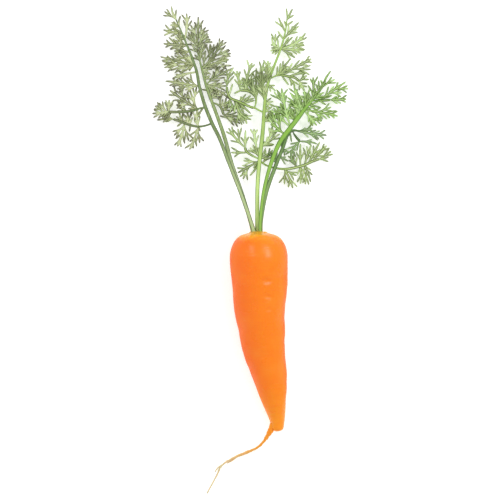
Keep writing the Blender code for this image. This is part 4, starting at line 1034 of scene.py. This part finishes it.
def grow_branch(blade, base, heading, normal, length, draw, reached=0.0):
    """A branch on a base of three points: a plain lobe, or a palm that forks in pairs of branches."""
    side = heading.cross(normal)
    start = blade.middle_of(base)
    age = draw.random()
    if length > LONGEST_LOBE:
        first = FORKS_FROM * length
        room = length - first - FORKS_END * length
        pairs = max(1, round(room / FORK_SPACING))
        for i in range(pairs):
            along = first + i * room / pairs
            blade.age = age
            low = blade.section(start + heading * along * MM, side, normal, PALM_HALF_WIDTHS[0])
            blade.strip(base, low)
            along += NODE_LENGTH
            base = blade.section(start + heading * along * MM, side, normal, PALM_HALF_WIDTHS[1])
            left_base, right_base = blade.forked_strip(low, base)
            for twig, turn in ((left_base, -FORK_ANGLE), (right_base, FORK_ANGLE)):
                fork = (FORK_SHARE - FORK_LESS * i) * length
                fork *= draw.uniform(1 - LENGTH_SPREAD, 1 + LENGTH_SPREAD)
                grow_branch(blade, twig, *side_heading(heading, normal, turn, draw), fork, draw)
        reached = along
    grow_lobe(blade, base, start, heading, normal, reached, length, draw)


def pinna_route(base, tip, bow):
    """A function that gives the point at a share of a pinna's midrib, which bows sideways."""
    across = (tip - base).cross(UP).normalized()
    middle = (base + tip) / 2 - across * 2 * bow * MM
    return lambda t: base * (1 - t) ** 2 + middle * 2 * t * (1 - t) + tip * t**2


def midrib_heading(route, t):
    """The way a midrib runs at a share of its length."""
    return (route(min(1.0, t + 0.02)) - route(max(0.0, t - 0.02))).normalized()


def pinna_nodes(route, length, tips):
    """A pinna's nodes in order: how far along its midrib each lies, and its left and right pinnules' tips."""
    pinnules = []
    for x, y in tips:
        tip = place(x, y, 0.0)
        t = min((i / 40 for i in range(41)), key=lambda share: (route(share) - tip).xy.length)
        foot = route(t)
        on_right = midrib_heading(route, t).cross(UP).dot(tip - foot) > 0
        back = (foot - tip).xy.length / MM / math.tan(PINNULE_ANGLE)
        pinnules.append((max(FIRST_NODE, t * length - back), on_right, tip))
    nodes = []
    for along, on_right, tip in sorted(pinnules, key=lambda pinnule: pinnule[0]):
        if nodes and along < nodes[-1][0] + NODE_LENGTH + NODE_GAP:
            along = nodes[-1][0] + NODE_LENGTH + NODE_GAP
            if nodes[-1][1 + on_right] is None:
                nodes[-1][1 + on_right] = tip
                continue
        nodes.append([along, None, None])
        nodes[-1][1 + on_right] = tip
    limit = length - LAST_NODE
    for node in reversed(nodes):
        node[0] = min(node[0], limit - NODE_LENGTH)
        limit = node[0] - NODE_GAP
    return [node for node in nodes if node[0] > NODE_GAP]


def grow_pinnule(blade, base, tip, slope, draw):
    """A pinnule on a base of three points, to its tip. It slopes with the midrib, or a little more or less."""
    to = tip - blade.middle_of(base)
    to.z = to.xy.length * (PINNULE_SLOPE * slope + draw.uniform(-PINNULE_DROOP, PINNULE_DROOP))
    heading = to.normalized()
    grow_branch(blade, base, heading, upper_side(heading), to.length / MM, draw)


def grow_pinna(blade, name, base, tip, bow, tips):
    """One side leaf of a frond: a midrib that ends in a lobe, with a pinnule to each of its tips."""
    route = pinna_route(base, tip, bow)
    length = sum((route(i / 10) - route(i / 10 + 0.1)).length for i in range(10)) / MM
    age = random.Random(f"{name} age").random()

    def cut(along):
        """The midrib's three points at a distance along it."""
        blade.age = age
        heading = midrib_heading(route, along / length)
        side = heading.cross(UP).normalized()
        half_width = widened(MIDRIB_HALF_WIDTHS, along / length)
        return blade.section(route(along / length), side, side.cross(heading), half_width)

    def run(low, reached, along):
        """Lays the midrib's strips as far as a distance along it, and returns its last three points."""
        steps = max(1, round((along - reached) / RIB_STEP))
        for i in range(steps):
            high = cut(reached + (i + 1) * (along - reached) / steps)
            blade.strip(low, high)
            low = high
        return low

    low = cut(0.0)
    reached = 0.0
    for i, (along, left_tip, right_tip) in enumerate(pinna_nodes(route, length, tips)):
        low = run(low, reached, along)
        reached = along + NODE_LENGTH
        high = cut(reached)
        left_base, right_base = blade.forked_strip(low, high)
        low = high
        heading = midrib_heading(route, along / length)
        for base, tip, turn in ((left_base, left_tip, -PINNULE_ANGLE), (right_base, right_tip, PINNULE_ANGLE)):
            draw = random.Random(f"{name} {i} {turn > 0}")
            if tip:
                grow_pinnule(blade, base, tip, heading.z, draw)
            else:
                way = side_heading(heading, upper_side(heading), turn, draw)
                grow_branch(blade, base, *way, draw.uniform(*SMALL_LOBE), draw)
    last = max(reached + NODE_GAP, length - END_LOBE)
    low = run(low, reached, last)
    heading = midrib_heading(route, 1.0)
    draw = random.Random(f"{name} end")
    grow_lobe(blade, low, blade.middle_of(low), heading, upper_side(heading), 0.0, length - last, draw)


def grow_wing(blade, rows):
    """The narrow blade along a bare rib, which widens from the stalk outwards."""
    points = [place(*row[:3]) for row in rows]
    low = None
    for i, point in enumerate(points):
        heading = (points[min(i + 1, len(points) - 1)] - points[max(i - 1, 0)]).normalized()
        side = heading.cross(UP).normalized()
        half_width = widened(WING_HALF_WIDTHS, min(1.0, 2 * i / len(points)))
        high = blade.section(point, side, side.cross(heading), half_width)
        if low:
            blade.strip(low, high)
        low = high


def build_blades(name, routes, settings):
    """All the blades of a frond, as one sheet that is thickened and rounded."""
    blade = Blade(settings.lobe_half_width, settings.fold)
    for rows in routes[1:]:
        grow_wing(blade, rows)
    stalk_places = [row for rows in routes for row in rows]
    for i, (x, y, bow, tip, tips) in enumerate(PINNAE[name]):
        base = min(stalk_places, key=lambda row: math.hypot(row[0] - x, row[1] - y))
        grow_pinna(blade, f"{name} {i}", place(*base[:3]), place(*tip), bow, tips)
    mesh = bpy.data.meshes.new(name + "_blades")
    mesh.from_pydata(blade.points, [], blade.faces)
    blades = bpy.data.objects.new(name + "_blades", mesh)
    bpy.context.scene.collection.objects.link(blades)
    for i, mark in enumerate(("tip", "vein", "age")):
        set_mark(blades, mark, [marks[i] for marks in blade.marks])
    for mark in ("ridge", "crest"):
        set_mark(blades, mark, [0.0] * len(blade.points))
    thicken = blades.modifiers.new("thickness", "SOLIDIFY")
    thicken.thickness = settings.thickness
    thicken.offset = 0.0
    rounder = blades.modifiers.new("rounder", "SUBSURF")
    rounder.levels = rounder.render_levels = 1
    finish_modifiers(blades)
    shade_round(blades)
    return blades


def stalk_rows(stalk, is_main):
    """A stalk's rows, with its sheath swelling where it leaves the crown."""
    rows = []
    for x, y, z, radius in smooth(stalk, STALK_STEPS):
        swell = 1 + SHEATH_SWELL * math.exp(-max(0.0, y - SHEATH_FROM_Y) / SHEATH_LENGTH) if is_main else 1.0
        rows.append((x, y, z, radius * swell))
    return rows


def build_stalks(name):
    """A frond's main stalk and bare ribs, with ridges along them."""
    section = ridged_section()
    pieces = []
    for i, stalk in enumerate(STALKS[name]):
        piece = swept(f"{name}_stalk_{i}", stalk_rows(stalk, i == 0), section)
        count = len(piece.data.vertices)
        set_mark(piece, "ridge", [0.0 if v % STALK_SIDES % RIDGE_STEP == 0 else 1.0 for v in range(count)])
        set_mark(piece, "crest", [vertex.normal.z for vertex in piece.data.vertices])
        for mark in ("tip", "vein", "age"):
            set_mark(piece, mark, [0.0] * count)
        face_outwards(piece)
        bpy.ops.object.shade_smooth()
        pieces.append(piece)
    bpy.data.objects.remove(section)
    return join(pieces, name + "_stalks")


def build_frond(name, settings):
    """A leaf: its ridged stalk, and its blades with their materials."""
    stalks = build_stalks(name)
    routes = [smooth(stalk, 2) for stalk in STALKS[name]]
    blades = build_blades(name, routes, settings)
    slot = LEAF_SLOTS[name]
    stalks.data.materials.append(stalk_material(name))
    blades.data.materials.append(leaf_material(name, getattr(settings, slot)))
    leaf = join([blades, stalks], "leaf_" + name.removeprefix("frond_"))
    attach(leaf, "root")
    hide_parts(name)
    return leaf


# The stalks' colours: near the crown, further up, a darker green for painted shade in the grooves and on the sides,
# and a pale painted highlight along the top
STALK_COLOURS = {
    "frond_left_front": ((140, 172, 84), (102, 128, 64), (48, 70, 26), (196, 214, 156)),
    "frond_left_back": ((170, 198, 112), (140, 164, 90), (72, 98, 40), (212, 226, 180)),
    "frond_middle": ((196, 238, 110), (160, 192, 92), (92, 138, 48), (222, 246, 156)),
    "frond_right_front": ((118, 168, 46), (134, 184, 56), (62, 106, 26), (152, 200, 84)),
    "frond_right_back": ((92, 136, 44), (80, 124, 40), (40, 74, 22), (160, 192, 120)),
}
# How brown a frond's lobe tips are, from 0 to 1
TIP_DRYNESS = {
    "frond_left_front": 0.75,
    "frond_left_back": 0.85,
    "frond_middle": 0.3,
    "frond_right_front": 0.2,
    "frond_right_back": 0.45,
}
DRY_TIP = (86, 80, 66)
# Painted shade where the leaves lie close together: X and Y from the object's origin and radius, in mm
SHADED_PLACES = ((3.4, 112.0, 10.0), (19.0, 60.0, 6.0), (-24.0, 128.0, 7.0))


def feed(tree, node, inputs):
    """Sets a node's inputs to values, or joins them to other nodes' outputs."""
    for name, value in inputs.items():
        socket = node.inputs[name]
        if isinstance(value, bpy.types.NodeSocket):
            tree.links.new(value, socket)
        elif socket.type == "RGBA":
            socket.default_value = (*value, 1.0)
        else:
            socket.default_value = value


def new_node(tree, kind, inputs=None, **settings):
    """A shader node with its settings and inputs."""
    node = tree.nodes.new(kind)
    for name, value in settings.items():
        setattr(node, name, value)
    feed(tree, node, inputs or {})
    return node


def maths(tree, operation, *values):
    """The result of an operation on values or other nodes' outputs."""
    return new_node(tree, "ShaderNodeMath", dict(enumerate(values)), operation=operation).outputs[0]


def measured(tree, operation, first, second):
    """A node that works on two vectors."""
    return new_node(tree, "ShaderNodeVectorMath", {0: first, 1: second}, operation=operation)


def read_mark(tree, name):
    """A mark of the mesh."""
    return new_node(tree, "ShaderNodeAttribute", attribute_name=name).outputs["Fac"]


def object_place(tree):
    """The place on the object, in metres from its origin."""
    return new_node(tree, "ShaderNodeTexCoord").outputs["Object"]


def y_of(tree, vector):
    return new_node(tree, "ShaderNodeSeparateXYZ", {"Vector": vector}).outputs["Y"]


def mixed(tree, factor, first, second):
    """A colour between two others. Each may be a colour or another node's output."""
    return new_node(tree, "ShaderNodeMix", {0: factor, 6: first, 7: second}, data_type="RGBA").outputs[2]


def ranged(tree, value, low, high, to_low=0.0, to_high=1.0):
    """A value turned from one range to another, and held inside it."""
    inputs = {"Value": value, "From Min": low, "From Max": high, "To Min": to_low, "To Max": to_high}
    return new_node(tree, "ShaderNodeMapRange", inputs).outputs["Result"]


def noise(tree, vector, scale, detail=3.0, roughness=0.5):
    inputs = {"Vector": vector, "Scale": scale, "Detail": detail, "Roughness": roughness}
    return new_node(tree, "ShaderNodeTexNoise", inputs).outputs["Fac"]


def stretched(tree, vector, scale):
    return new_node(tree, "ShaderNodeMapping", {"Vector": vector, "Scale": scale}).outputs["Vector"]


def new_group(name, inputs, outputs):
    """A node group with named sockets, its input node and its output node."""
    group = bpy.data.node_groups.new(name, "ShaderNodeTree")
    for label, kind, default in inputs:
        socket = group.interface.new_socket(name=label, in_out="INPUT", socket_type=kind)
        if default is not None:
            socket.default_value = default
    for label, kind in outputs:
        group.interface.new_socket(name=label, in_out="OUTPUT", socket_type=kind)
    return group, group.nodes.new("NodeGroupInput"), group.nodes.new("NodeGroupOutput")


def skin_group():
    """Carrot skin: soft mottling, bands that run round the root, and short pale lenticels across it."""
    if "Carrot skin" in bpy.data.node_groups:
        return bpy.data.node_groups["Carrot skin"]
    group, given, out = new_group(
        "Carrot skin",
        (("Colour", "NodeSocketColor", (1.0, 0.3, 0.05, 1.0)), ("Strength", "NodeSocketFloat", 1.0)),
        (("Colour", "NodeSocketColor"), ("Height", "NodeSocketFloat"), ("Wetness", "NodeSocketFloat")),
    )
    place_at = object_place(group)
    blotches = noise(group, place_at, 70.0, 4.0)
    bands = noise(group, stretched(group, place_at, (1.0, 9.0, 1.0)), 95.0, 5.0, 0.6)
    fibres = noise(group, stretched(group, place_at, (1.0, 0.08, 1.0)), 900.0, 2.0)
    across = stretched(group, place_at, (1.0, 4.5, 1.0))
    cells = new_node(group, "ShaderNodeTexVoronoi", {"Vector": across, "Scale": 105.0}).outputs["Distance"]
    lenticels = ranged(group, cells, 0.08, 0.22, 1.0, 0.0)
    plain = given.outputs["Colour"]
    darker = mixed(group, ranged(group, bands, 0.48, 0.7, 0.0, 0.3), plain, (0.95, 0.17, 0.012))
    lighter = mixed(group, ranged(group, blotches, 0.5, 0.75, 0.0, 0.3), darker, (1.0, 0.32, 0.02))
    dotted = mixed(group, ranged(group, lenticels, 0.0, 1.0, 0.0, 0.14), lighter, (1.0, 0.45, 0.08))
    colour = mixed(group, given.outputs["Strength"], plain, dotted)
    height = maths(group, "ADD", maths(group, "MULTIPLY", bands, 0.55), maths(group, "MULTIPLY", fibres, 0.25))
    height = maths(group, "ADD", height, maths(group, "MULTIPLY", lenticels, -0.35))
    feed(group, out, {"Colour": colour, "Height": height, "Wetness": ranged(group, blotches, 0.3, 0.7)})
    return group


def leaf_group():
    """Leaf surface: a pale vein, painted highlights and painted shade, dry tips and mottling, read from the blade's
    own marks.
    """
    if "Carrot leaf" in bpy.data.node_groups:
        return bpy.data.node_groups["Carrot leaf"]
    group, given, out = new_group(
        "Carrot leaf",
        (
            ("Blade", "NodeSocketColor", (0.2, 0.3, 0.1, 1.0)),
            ("Vein and highlight", "NodeSocketColor", (0.4, 0.5, 0.2, 1.0)),
            ("Painted shade", "NodeSocketColor", (0.1, 0.15, 0.05, 1.0)),
            ("Dry tip", "NodeSocketColor", (0.1, 0.09, 0.08, 1.0)),
            ("Dryness", "NodeSocketFloat", 0.5),
        ),
        (("Colour", "NodeSocketColor"), ("Height", "NodeSocketFloat"), ("Dry", "NodeSocketFloat")),
    )
    place_at = object_place(group)
    tip = read_mark(group, "tip")
    vein = read_mark(group, "vein")
    age = read_mark(group, "age")
    patches = noise(group, place_at, 130.0, 3.0)
    grain = noise(group, place_at, 1400.0, 2.0)
    # pale is the lit copy of the blade's colour, for the vein and painted highlights; edge is the shaded copy, for
    # painted shade.
    blade, pale, edge = (given.outputs[name] for name in ("Blade", "Vein and highlight", "Painted shade"))
    shaded = mixed(group, ranged(group, patches, 0.42, 0.62, 0.0, 0.5), blade, edge)
    # Painted shade and painted highlight on whole lobes: each lobe's age mark, drawn at random, takes it towards the
    # shaded or the lit copy.
    lobe_shade = mixed(group, ranged(group, age, 0.5, 0.1, 0.0, 0.85), shaded, edge)
    lobe_highlight = mixed(group, ranged(group, age, 0.55, 0.9, 0.0, 0.8), lobe_shade, pale)
    # Painted shade along the lobes' edges, and the pale vein with painted highlight along their middles.
    edge_shaded = mixed(group, ranged(group, vein, 0.0, 0.4, 0.7, 0.0), lobe_highlight, edge)
    veined = mixed(group, ranged(group, vein, 0.4, 0.95, 0.0, 0.7), edge_shaded, pale)
    from_above = measured(group, "MULTIPLY", place_at, (1.0, 1.0, 0.0)).outputs["Vector"]
    # Painted shade where the leaves lie close together.
    for x, y, radius in SHADED_PLACES:
        away = measured(group, "DISTANCE", from_above, (x * MM, y * MM, 0.0)).outputs["Value"]
        crowd_shade = ranged(group, away, radius * MM, 0.5 * radius * MM, 0.0, 0.55)
        veined = mixed(group, crowd_shade, veined, edge)
    dry_here = maths(group, "MULTIPLY", tip, given.outputs["Dryness"])
    uneven = maths(group, "MULTIPLY", dry_here, ranged(group, patches, 0.3, 0.6, 0.35, 1.25))
    colour = mixed(group, ranged(group, uneven, 0.1, 0.85), veined, given.outputs["Dry tip"])
    speckled = mixed(group, ranged(group, grain, 0.5, 0.8, 0.0, 0.22), colour, pale)
    feed(group, out, {"Colour": speckled, "Height": grain, "Dry": ranged(group, uneven, 0.0, 1.0)})
    return group


def new_material(name):
    """A material with its tree and its Principled shader."""
    material = bpy.data.materials.new(name)
    material.use_nodes = True
    return material, material.node_tree, material.node_tree.nodes["Principled BSDF"]


def bumped(tree, shader, height, strength, distance):
    """Gives a shader a bumpy surface."""
    bump = new_node(tree, "ShaderNodeBump", {"Height": height, "Strength": strength, "Distance": distance})
    feed(tree, shader, {"Normal": bump.outputs["Normal"]})


def softened(shader, weight, radius, scale):
    """Lets some light into a shader's surface."""
    for name, value in (("Weight", weight), ("Radius", radius), ("Scale", scale)):
        shader.inputs[f"Subsurface {name}"].default_value = value


# Painted shade: the deeper orange of the root where it turns away from the light at its sides
SIDE_SHADE = (240, 98, 12)


def root_material(settings):
    """The root's skin, yellower at both ends and redder on its left, with painted shade at its sides, and fading to
    straw along the tail.
    """
    material, tree, shader = new_material("carrot_skin")
    place_at = object_place(tree)
    along = y_of(tree, place_at)
    left_side = read_mark(tree, "left_side")
    tail = read_mark(tree, "tail")
    uneven = noise(tree, place_at, 160.0, 3.0)
    wander = ranged(tree, uneven, 0.3, 0.7, -0.0025, 0.0025)
    place_along = maths(tree, "ADD", along, wander)
    colour = mixed(tree, ranged(tree, left_side, 0.0, 0.9), settings.skin, settings.flank)
    # Painted shade: the right edge is made redder, and both sides a deeper orange, where the root turns away from the
    # light.
    colour = mixed(tree, ranged(tree, left_side, -0.8, -1.0, 0.0, 0.7), colour, settings.flank)
    sideways = maths(tree, "ABSOLUTE", left_side)
    colour = mixed(tree, ranged(tree, sideways, 0.86, 1.0, 0.0, 0.7), colour, screen(*SIDE_SHADE))
    colour = mixed(tree, ranged(tree, place_along, -0.085, -0.112), colour, settings.tip)
    colour = mixed(tree, ranged(tree, place_along, 0.0045, 0.0105), colour, settings.crown)
    colour = mixed(tree, ranged(tree, place_along, 0.0098, 0.0125, 0.0, 0.7), colour, screen(176, 150, 48))
    strength = ranged(tree, place_along, 0.004, 0.011, 1.0, 0.35)
    skin = new_node(tree, "ShaderNodeGroup", {"Colour": colour, "Strength": strength}, node_tree=skin_group())
    straw = mixed(tree, ranged(tree, uneven, 0.35, 0.65), settings.tail, screen(206, 186, 138))
    ochre = mixed(tree, ranged(tree, tail, 0.0, 0.4), skin.outputs["Colour"], screen(236, 168, 66))
    feed(tree, shader, {
        "Base Color": mixed(tree, ranged(tree, tail, 0.3, 0.62), ochre, straw),
        "Roughness": ranged(tree, skin.outputs["Wetness"], 0.0, 1.0, 0.24, 0.34),
        "Specular IOR Level": ranged(tree, sideways, 0.6, 0.95, 0.32, 0.04),
    })
    softened(shader, 0.12, (1.0, 0.35, 0.1), 0.0015)
    bumped(tree, shader, skin.outputs["Height"], 0.35, 0.0005)
    return material


def rootlet_material(settings):
    """Thin dry rootlets, straw coloured with ochre patches."""
    material, tree, shader = new_material("rootlets")
    place_at = object_place(tree)
    patches = noise(tree, place_at, 420.0, 3.0)
    feed(tree, shader, {
        "Base Color": mixed(tree, ranged(tree, patches, 0.35, 0.65), settings.tail, screen(214, 190, 138)),
        "Roughness": ranged(tree, patches, 0.3, 0.7, 0.6, 0.8),
    })
    bumped(tree, shader, patches, 0.4, 0.0002)
    return material


def leaf_material(name, blade):
    """One frond's blades, with paler veins, painted highlights and painted shade at the edges, as lit and shaded
    copies of the blade's own colour.
    """
    material, tree, shader = new_material(name + "_blade")
    colours = {
        "Blade": blade,
        # The lit copy of the blade's colour is the pale vein and painted highlight, and the shaded copy is painted
        # shade.
        "Vein and highlight": [min(1.0, 1.4 * c + 0.27) for c in blade],
        "Painted shade": [0.34 * c for c in blade],
        "Dry tip": screen(*DRY_TIP),
        "Dryness": TIP_DRYNESS[name],
    }
    leaf = new_node(tree, "ShaderNodeGroup", colours, node_tree=leaf_group())
    feed(tree, shader, {
        "Base Color": leaf.outputs["Colour"],
        "Roughness": ranged(tree, leaf.outputs["Dry"], 0.0, 1.0, 0.5, 0.8),
    })
    softened(shader, 0.15, (0.5, 1.0, 0.2), 0.0004)
    bumped(tree, shader, leaf.outputs["Height"], 0.3, 0.0002)
    return material


def stalk_material(name):
    """One frond's stalks: pale ridges, painted shade in the grooves and on the sides, a painted highlight along the
    top, and paler towards the crown.
    """
    material, tree, shader = new_material(name + "_stalk")
    base, upper, dark_green_and_shade, top_highlight = (screen(*colour) for colour in STALK_COLOURS[name])
    place_at = object_place(tree)
    along = y_of(tree, place_at)
    ridge = read_mark(tree, "ridge")
    crest = read_mark(tree, "crest")
    streaks = noise(tree, stretched(tree, place_at, (1.0, 0.06, 1.0)), 1500.0, 3.0)
    patches = noise(tree, place_at, 160.0, 3.0)
    colour = mixed(tree, ranged(tree, along, 0.012, 0.06), base, upper)
    colour = mixed(tree, ranged(tree, patches, 0.4, 0.7, 0.0, 0.5), colour, dark_green_and_shade)
    # Painted shade in the grooves between the ridges.
    colour = mixed(tree, ranged(tree, ridge, 0.0, 0.8, 0.75, 0.0), colour, dark_green_and_shade)
    # Painted shade on the sides and underside, where the stalk turns away from straight up.
    colour = mixed(tree, ranged(tree, crest, 0.88, 0.5, 0.0, 0.9), colour, dark_green_and_shade)
    faded = mixed(tree, ranged(tree, along, 0.04, 0.075, 0.0, 0.85), top_highlight, upper)
    # Painted highlight: a pale stripe where the stalk faces straight up, fading further from the crown.
    colour = mixed(tree, ranged(tree, crest, 0.9, 0.98, 0.0, 0.75), colour, faded)
    # Fine pale streaks of painted highlight.
    colour = mixed(tree, ranged(tree, streaks, 0.52, 0.75, 0.0, 0.4), colour, top_highlight)
    colour = mixed(tree, ranged(tree, along, 0.013, 0.0095, 0.0, 0.5), colour, screen(218, 206, 120))
    feed(tree, shader, {"Base Color": colour, "Roughness": ranged(tree, patches, 0.3, 0.7, 0.38, 0.52)})
    softened(shader, 0.1, (0.5, 1.0, 0.2), 0.0008)
    bumped(tree, shader, streaks, 0.25, 0.0002)
    return material


# The floor glows a little, which softens every shadow.
FLOOR_GLOW = 0.44
FLOOR_SIDE = 6.0
WHITE = (1.0, 1.0, 1.0)


def floor_material(colour):
    """A pale matt sheet with the faintest grain, which glows a little as painted light."""
    material, tree, shader = new_material("pale_floor")
    grain = noise(tree, object_place(tree), 300.0, 2.0)
    shade = [0.985 * c for c in colour]
    feed(tree, shader, {
        "Base Color": mixed(tree, ranged(tree, grain, 0.4, 0.6), colour, shade),
        "Roughness": 0.9,
        "Emission Color": WHITE,
        "Emission Strength": FLOOR_GLOW,
    })
    return material


def add_softbox(name, location, size, power):
    """A rectangular lamp that faces the carrot."""
    clear_selection()
    bpy.ops.object.light_add(type="AREA", location=location)
    lamp = bpy.context.object
    lamp.name = name
    lamp.data.shape = "RECTANGLE"
    lamp.data.size, lamp.data.size_y = size
    lamp.data.energy = power
    lamp.rotation_mode = "QUATERNION"
    lamp.rotation_quaternion = (-Vector(location)).to_track_quat("-Z", "Y")
    return lamp


# The camera sees as much as the photo does, whose side is so many pixels of so many mm, at this height in
# metres.
PHOTO_PIXEL = 0.65
PHOTO_SIDE = 500
FOCUS_HEIGHT = 0.01
FARTHEST = 20.0
# Each softbox: its name, place and size in metres, and its share of the lamps' power.
SOFTBOXES = (
    ("softbox_left", (-0.52, 0.42, 0.95), (0.18, 0.2), 0.5),
    ("softbox_right", (0.6, 0.42, 0.95), (0.3, 0.24), 1.35),
)


def build_stage(settings):
    """The floor, the even light, two softboxes and the camera that looks straight down."""
    clear_selection()
    bpy.ops.mesh.primitive_plane_add(size=FLOOR_SIDE, location=(0.0, 0.0, 0.0))
    floor = settle(bpy.context.object, "floor")
    floor.data.materials.append(floor_material(settings.floor))
    world = bpy.data.worlds.new("studio")
    world.use_nodes = True
    feed(world.node_tree, world.node_tree.nodes["Background"], {"Color": WHITE, "Strength": settings.sky})
    bpy.context.scene.world = world
    bpy.context.scene.view_settings.view_transform = "Standard"
    for name, location, size, share in SOFTBOXES:
        add_softbox(name, location, size, share * settings.lamp)
    clear_selection()
    middle = place(0.0, 0.0, 0.0)
    bpy.ops.object.camera_add(location=(middle.x, middle.y, settings.camera_height))
    camera = bpy.context.object
    camera.name = "camera"
    seen = PHOTO_PIXEL * PHOTO_SIDE * MM
    camera.data.lens = camera.data.sensor_width * (settings.camera_height - FOCUS_HEIGHT) / seen
    camera.data.clip_end = FARTHEST
    bpy.context.scene.camera = camera
    return floor


class CARROT_OT_root(bpy.types.Operator):
    """Make the root with its crown, creases and tail"""

    bl_idname = "carrot.root"
    bl_label = "Root and tail"

    def execute(self, context):
        build_root(context.scene.carrot_root)
        return {"FINISHED"}


class CARROT_OT_rootlets(bpy.types.Operator):
    """Make the fine rootlets along the tail and the root"""

    bl_idname = "carrot.rootlets"
    bl_label = "Fine rootlets"

    def execute(self, context):
        build_rootlets(context.scene.carrot_root)
        return {"FINISHED"}


class CARROT_OT_fronds(bpy.types.Operator):
    """Make the five fronds, each a ridged stalk with its lobed blades"""

    bl_idname = "carrot.fronds"
    bl_label = "Fronds"

    def execute(self, context):
        for name in STALKS:
            build_frond(name, context.scene.carrot_leaves)
        return {"FINISHED"}


class CARROT_OT_stage(bpy.types.Operator):
    """Make the pale floor, the soft lights and the camera"""

    bl_idname = "carrot.stage"
    bl_label = "Stage"

    def execute(self, context):
        build_stage(context.scene.carrot_stage)
        return {"FINISHED"}


class CARROT_PT_panel(bpy.types.Panel):
    """The carrot's pieces and their settings"""

    bl_idname = "CARROT_PT_panel"
    bl_label = "Carrot"
    bl_space_type = "VIEW_3D"
    bl_region_type = "UI"
    bl_category = "Carrot"

    def draw(self, context):
        for settings, operators in (
            (context.scene.carrot_root, ("carrot.root", "carrot.rootlets")),
            (context.scene.carrot_leaves, ("carrot.fronds",)),
            (context.scene.carrot_stage, ("carrot.stage",)),
        ):
            box = self.layout.box()
            for name in settings.__annotations__:
                box.prop(settings, name)
            for operator in operators:
                box.operator(operator)


CLASSES = (
    CarrotRootSettings,
    CarrotLeafSettings,
    CarrotStageSettings,
    CARROT_OT_root,
    CARROT_OT_rootlets,
    CARROT_OT_fronds,
    CARROT_OT_stage,
    CARROT_PT_panel,
)


def register():
    for item in CLASSES:
        bpy.utils.register_class(item)
    bpy.types.Scene.carrot_root = PointerProperty(type=CarrotRootSettings)
    bpy.types.Scene.carrot_leaves = PointerProperty(type=CarrotLeafSettings)
    bpy.types.Scene.carrot_stage = PointerProperty(type=CarrotStageSettings)


def unregister():
    del bpy.types.Scene.carrot_stage
    del bpy.types.Scene.carrot_leaves
    del bpy.types.Scene.carrot_root
    for item in reversed(CLASSES):
        bpy.utils.unregister_class(item)


def main():
    register()
    bpy.ops.carrot.root()
    bpy.ops.carrot.rootlets()
    bpy.ops.carrot.fronds()
    bpy.ops.carrot.stage()


if __name__ == "__main__":
    main()
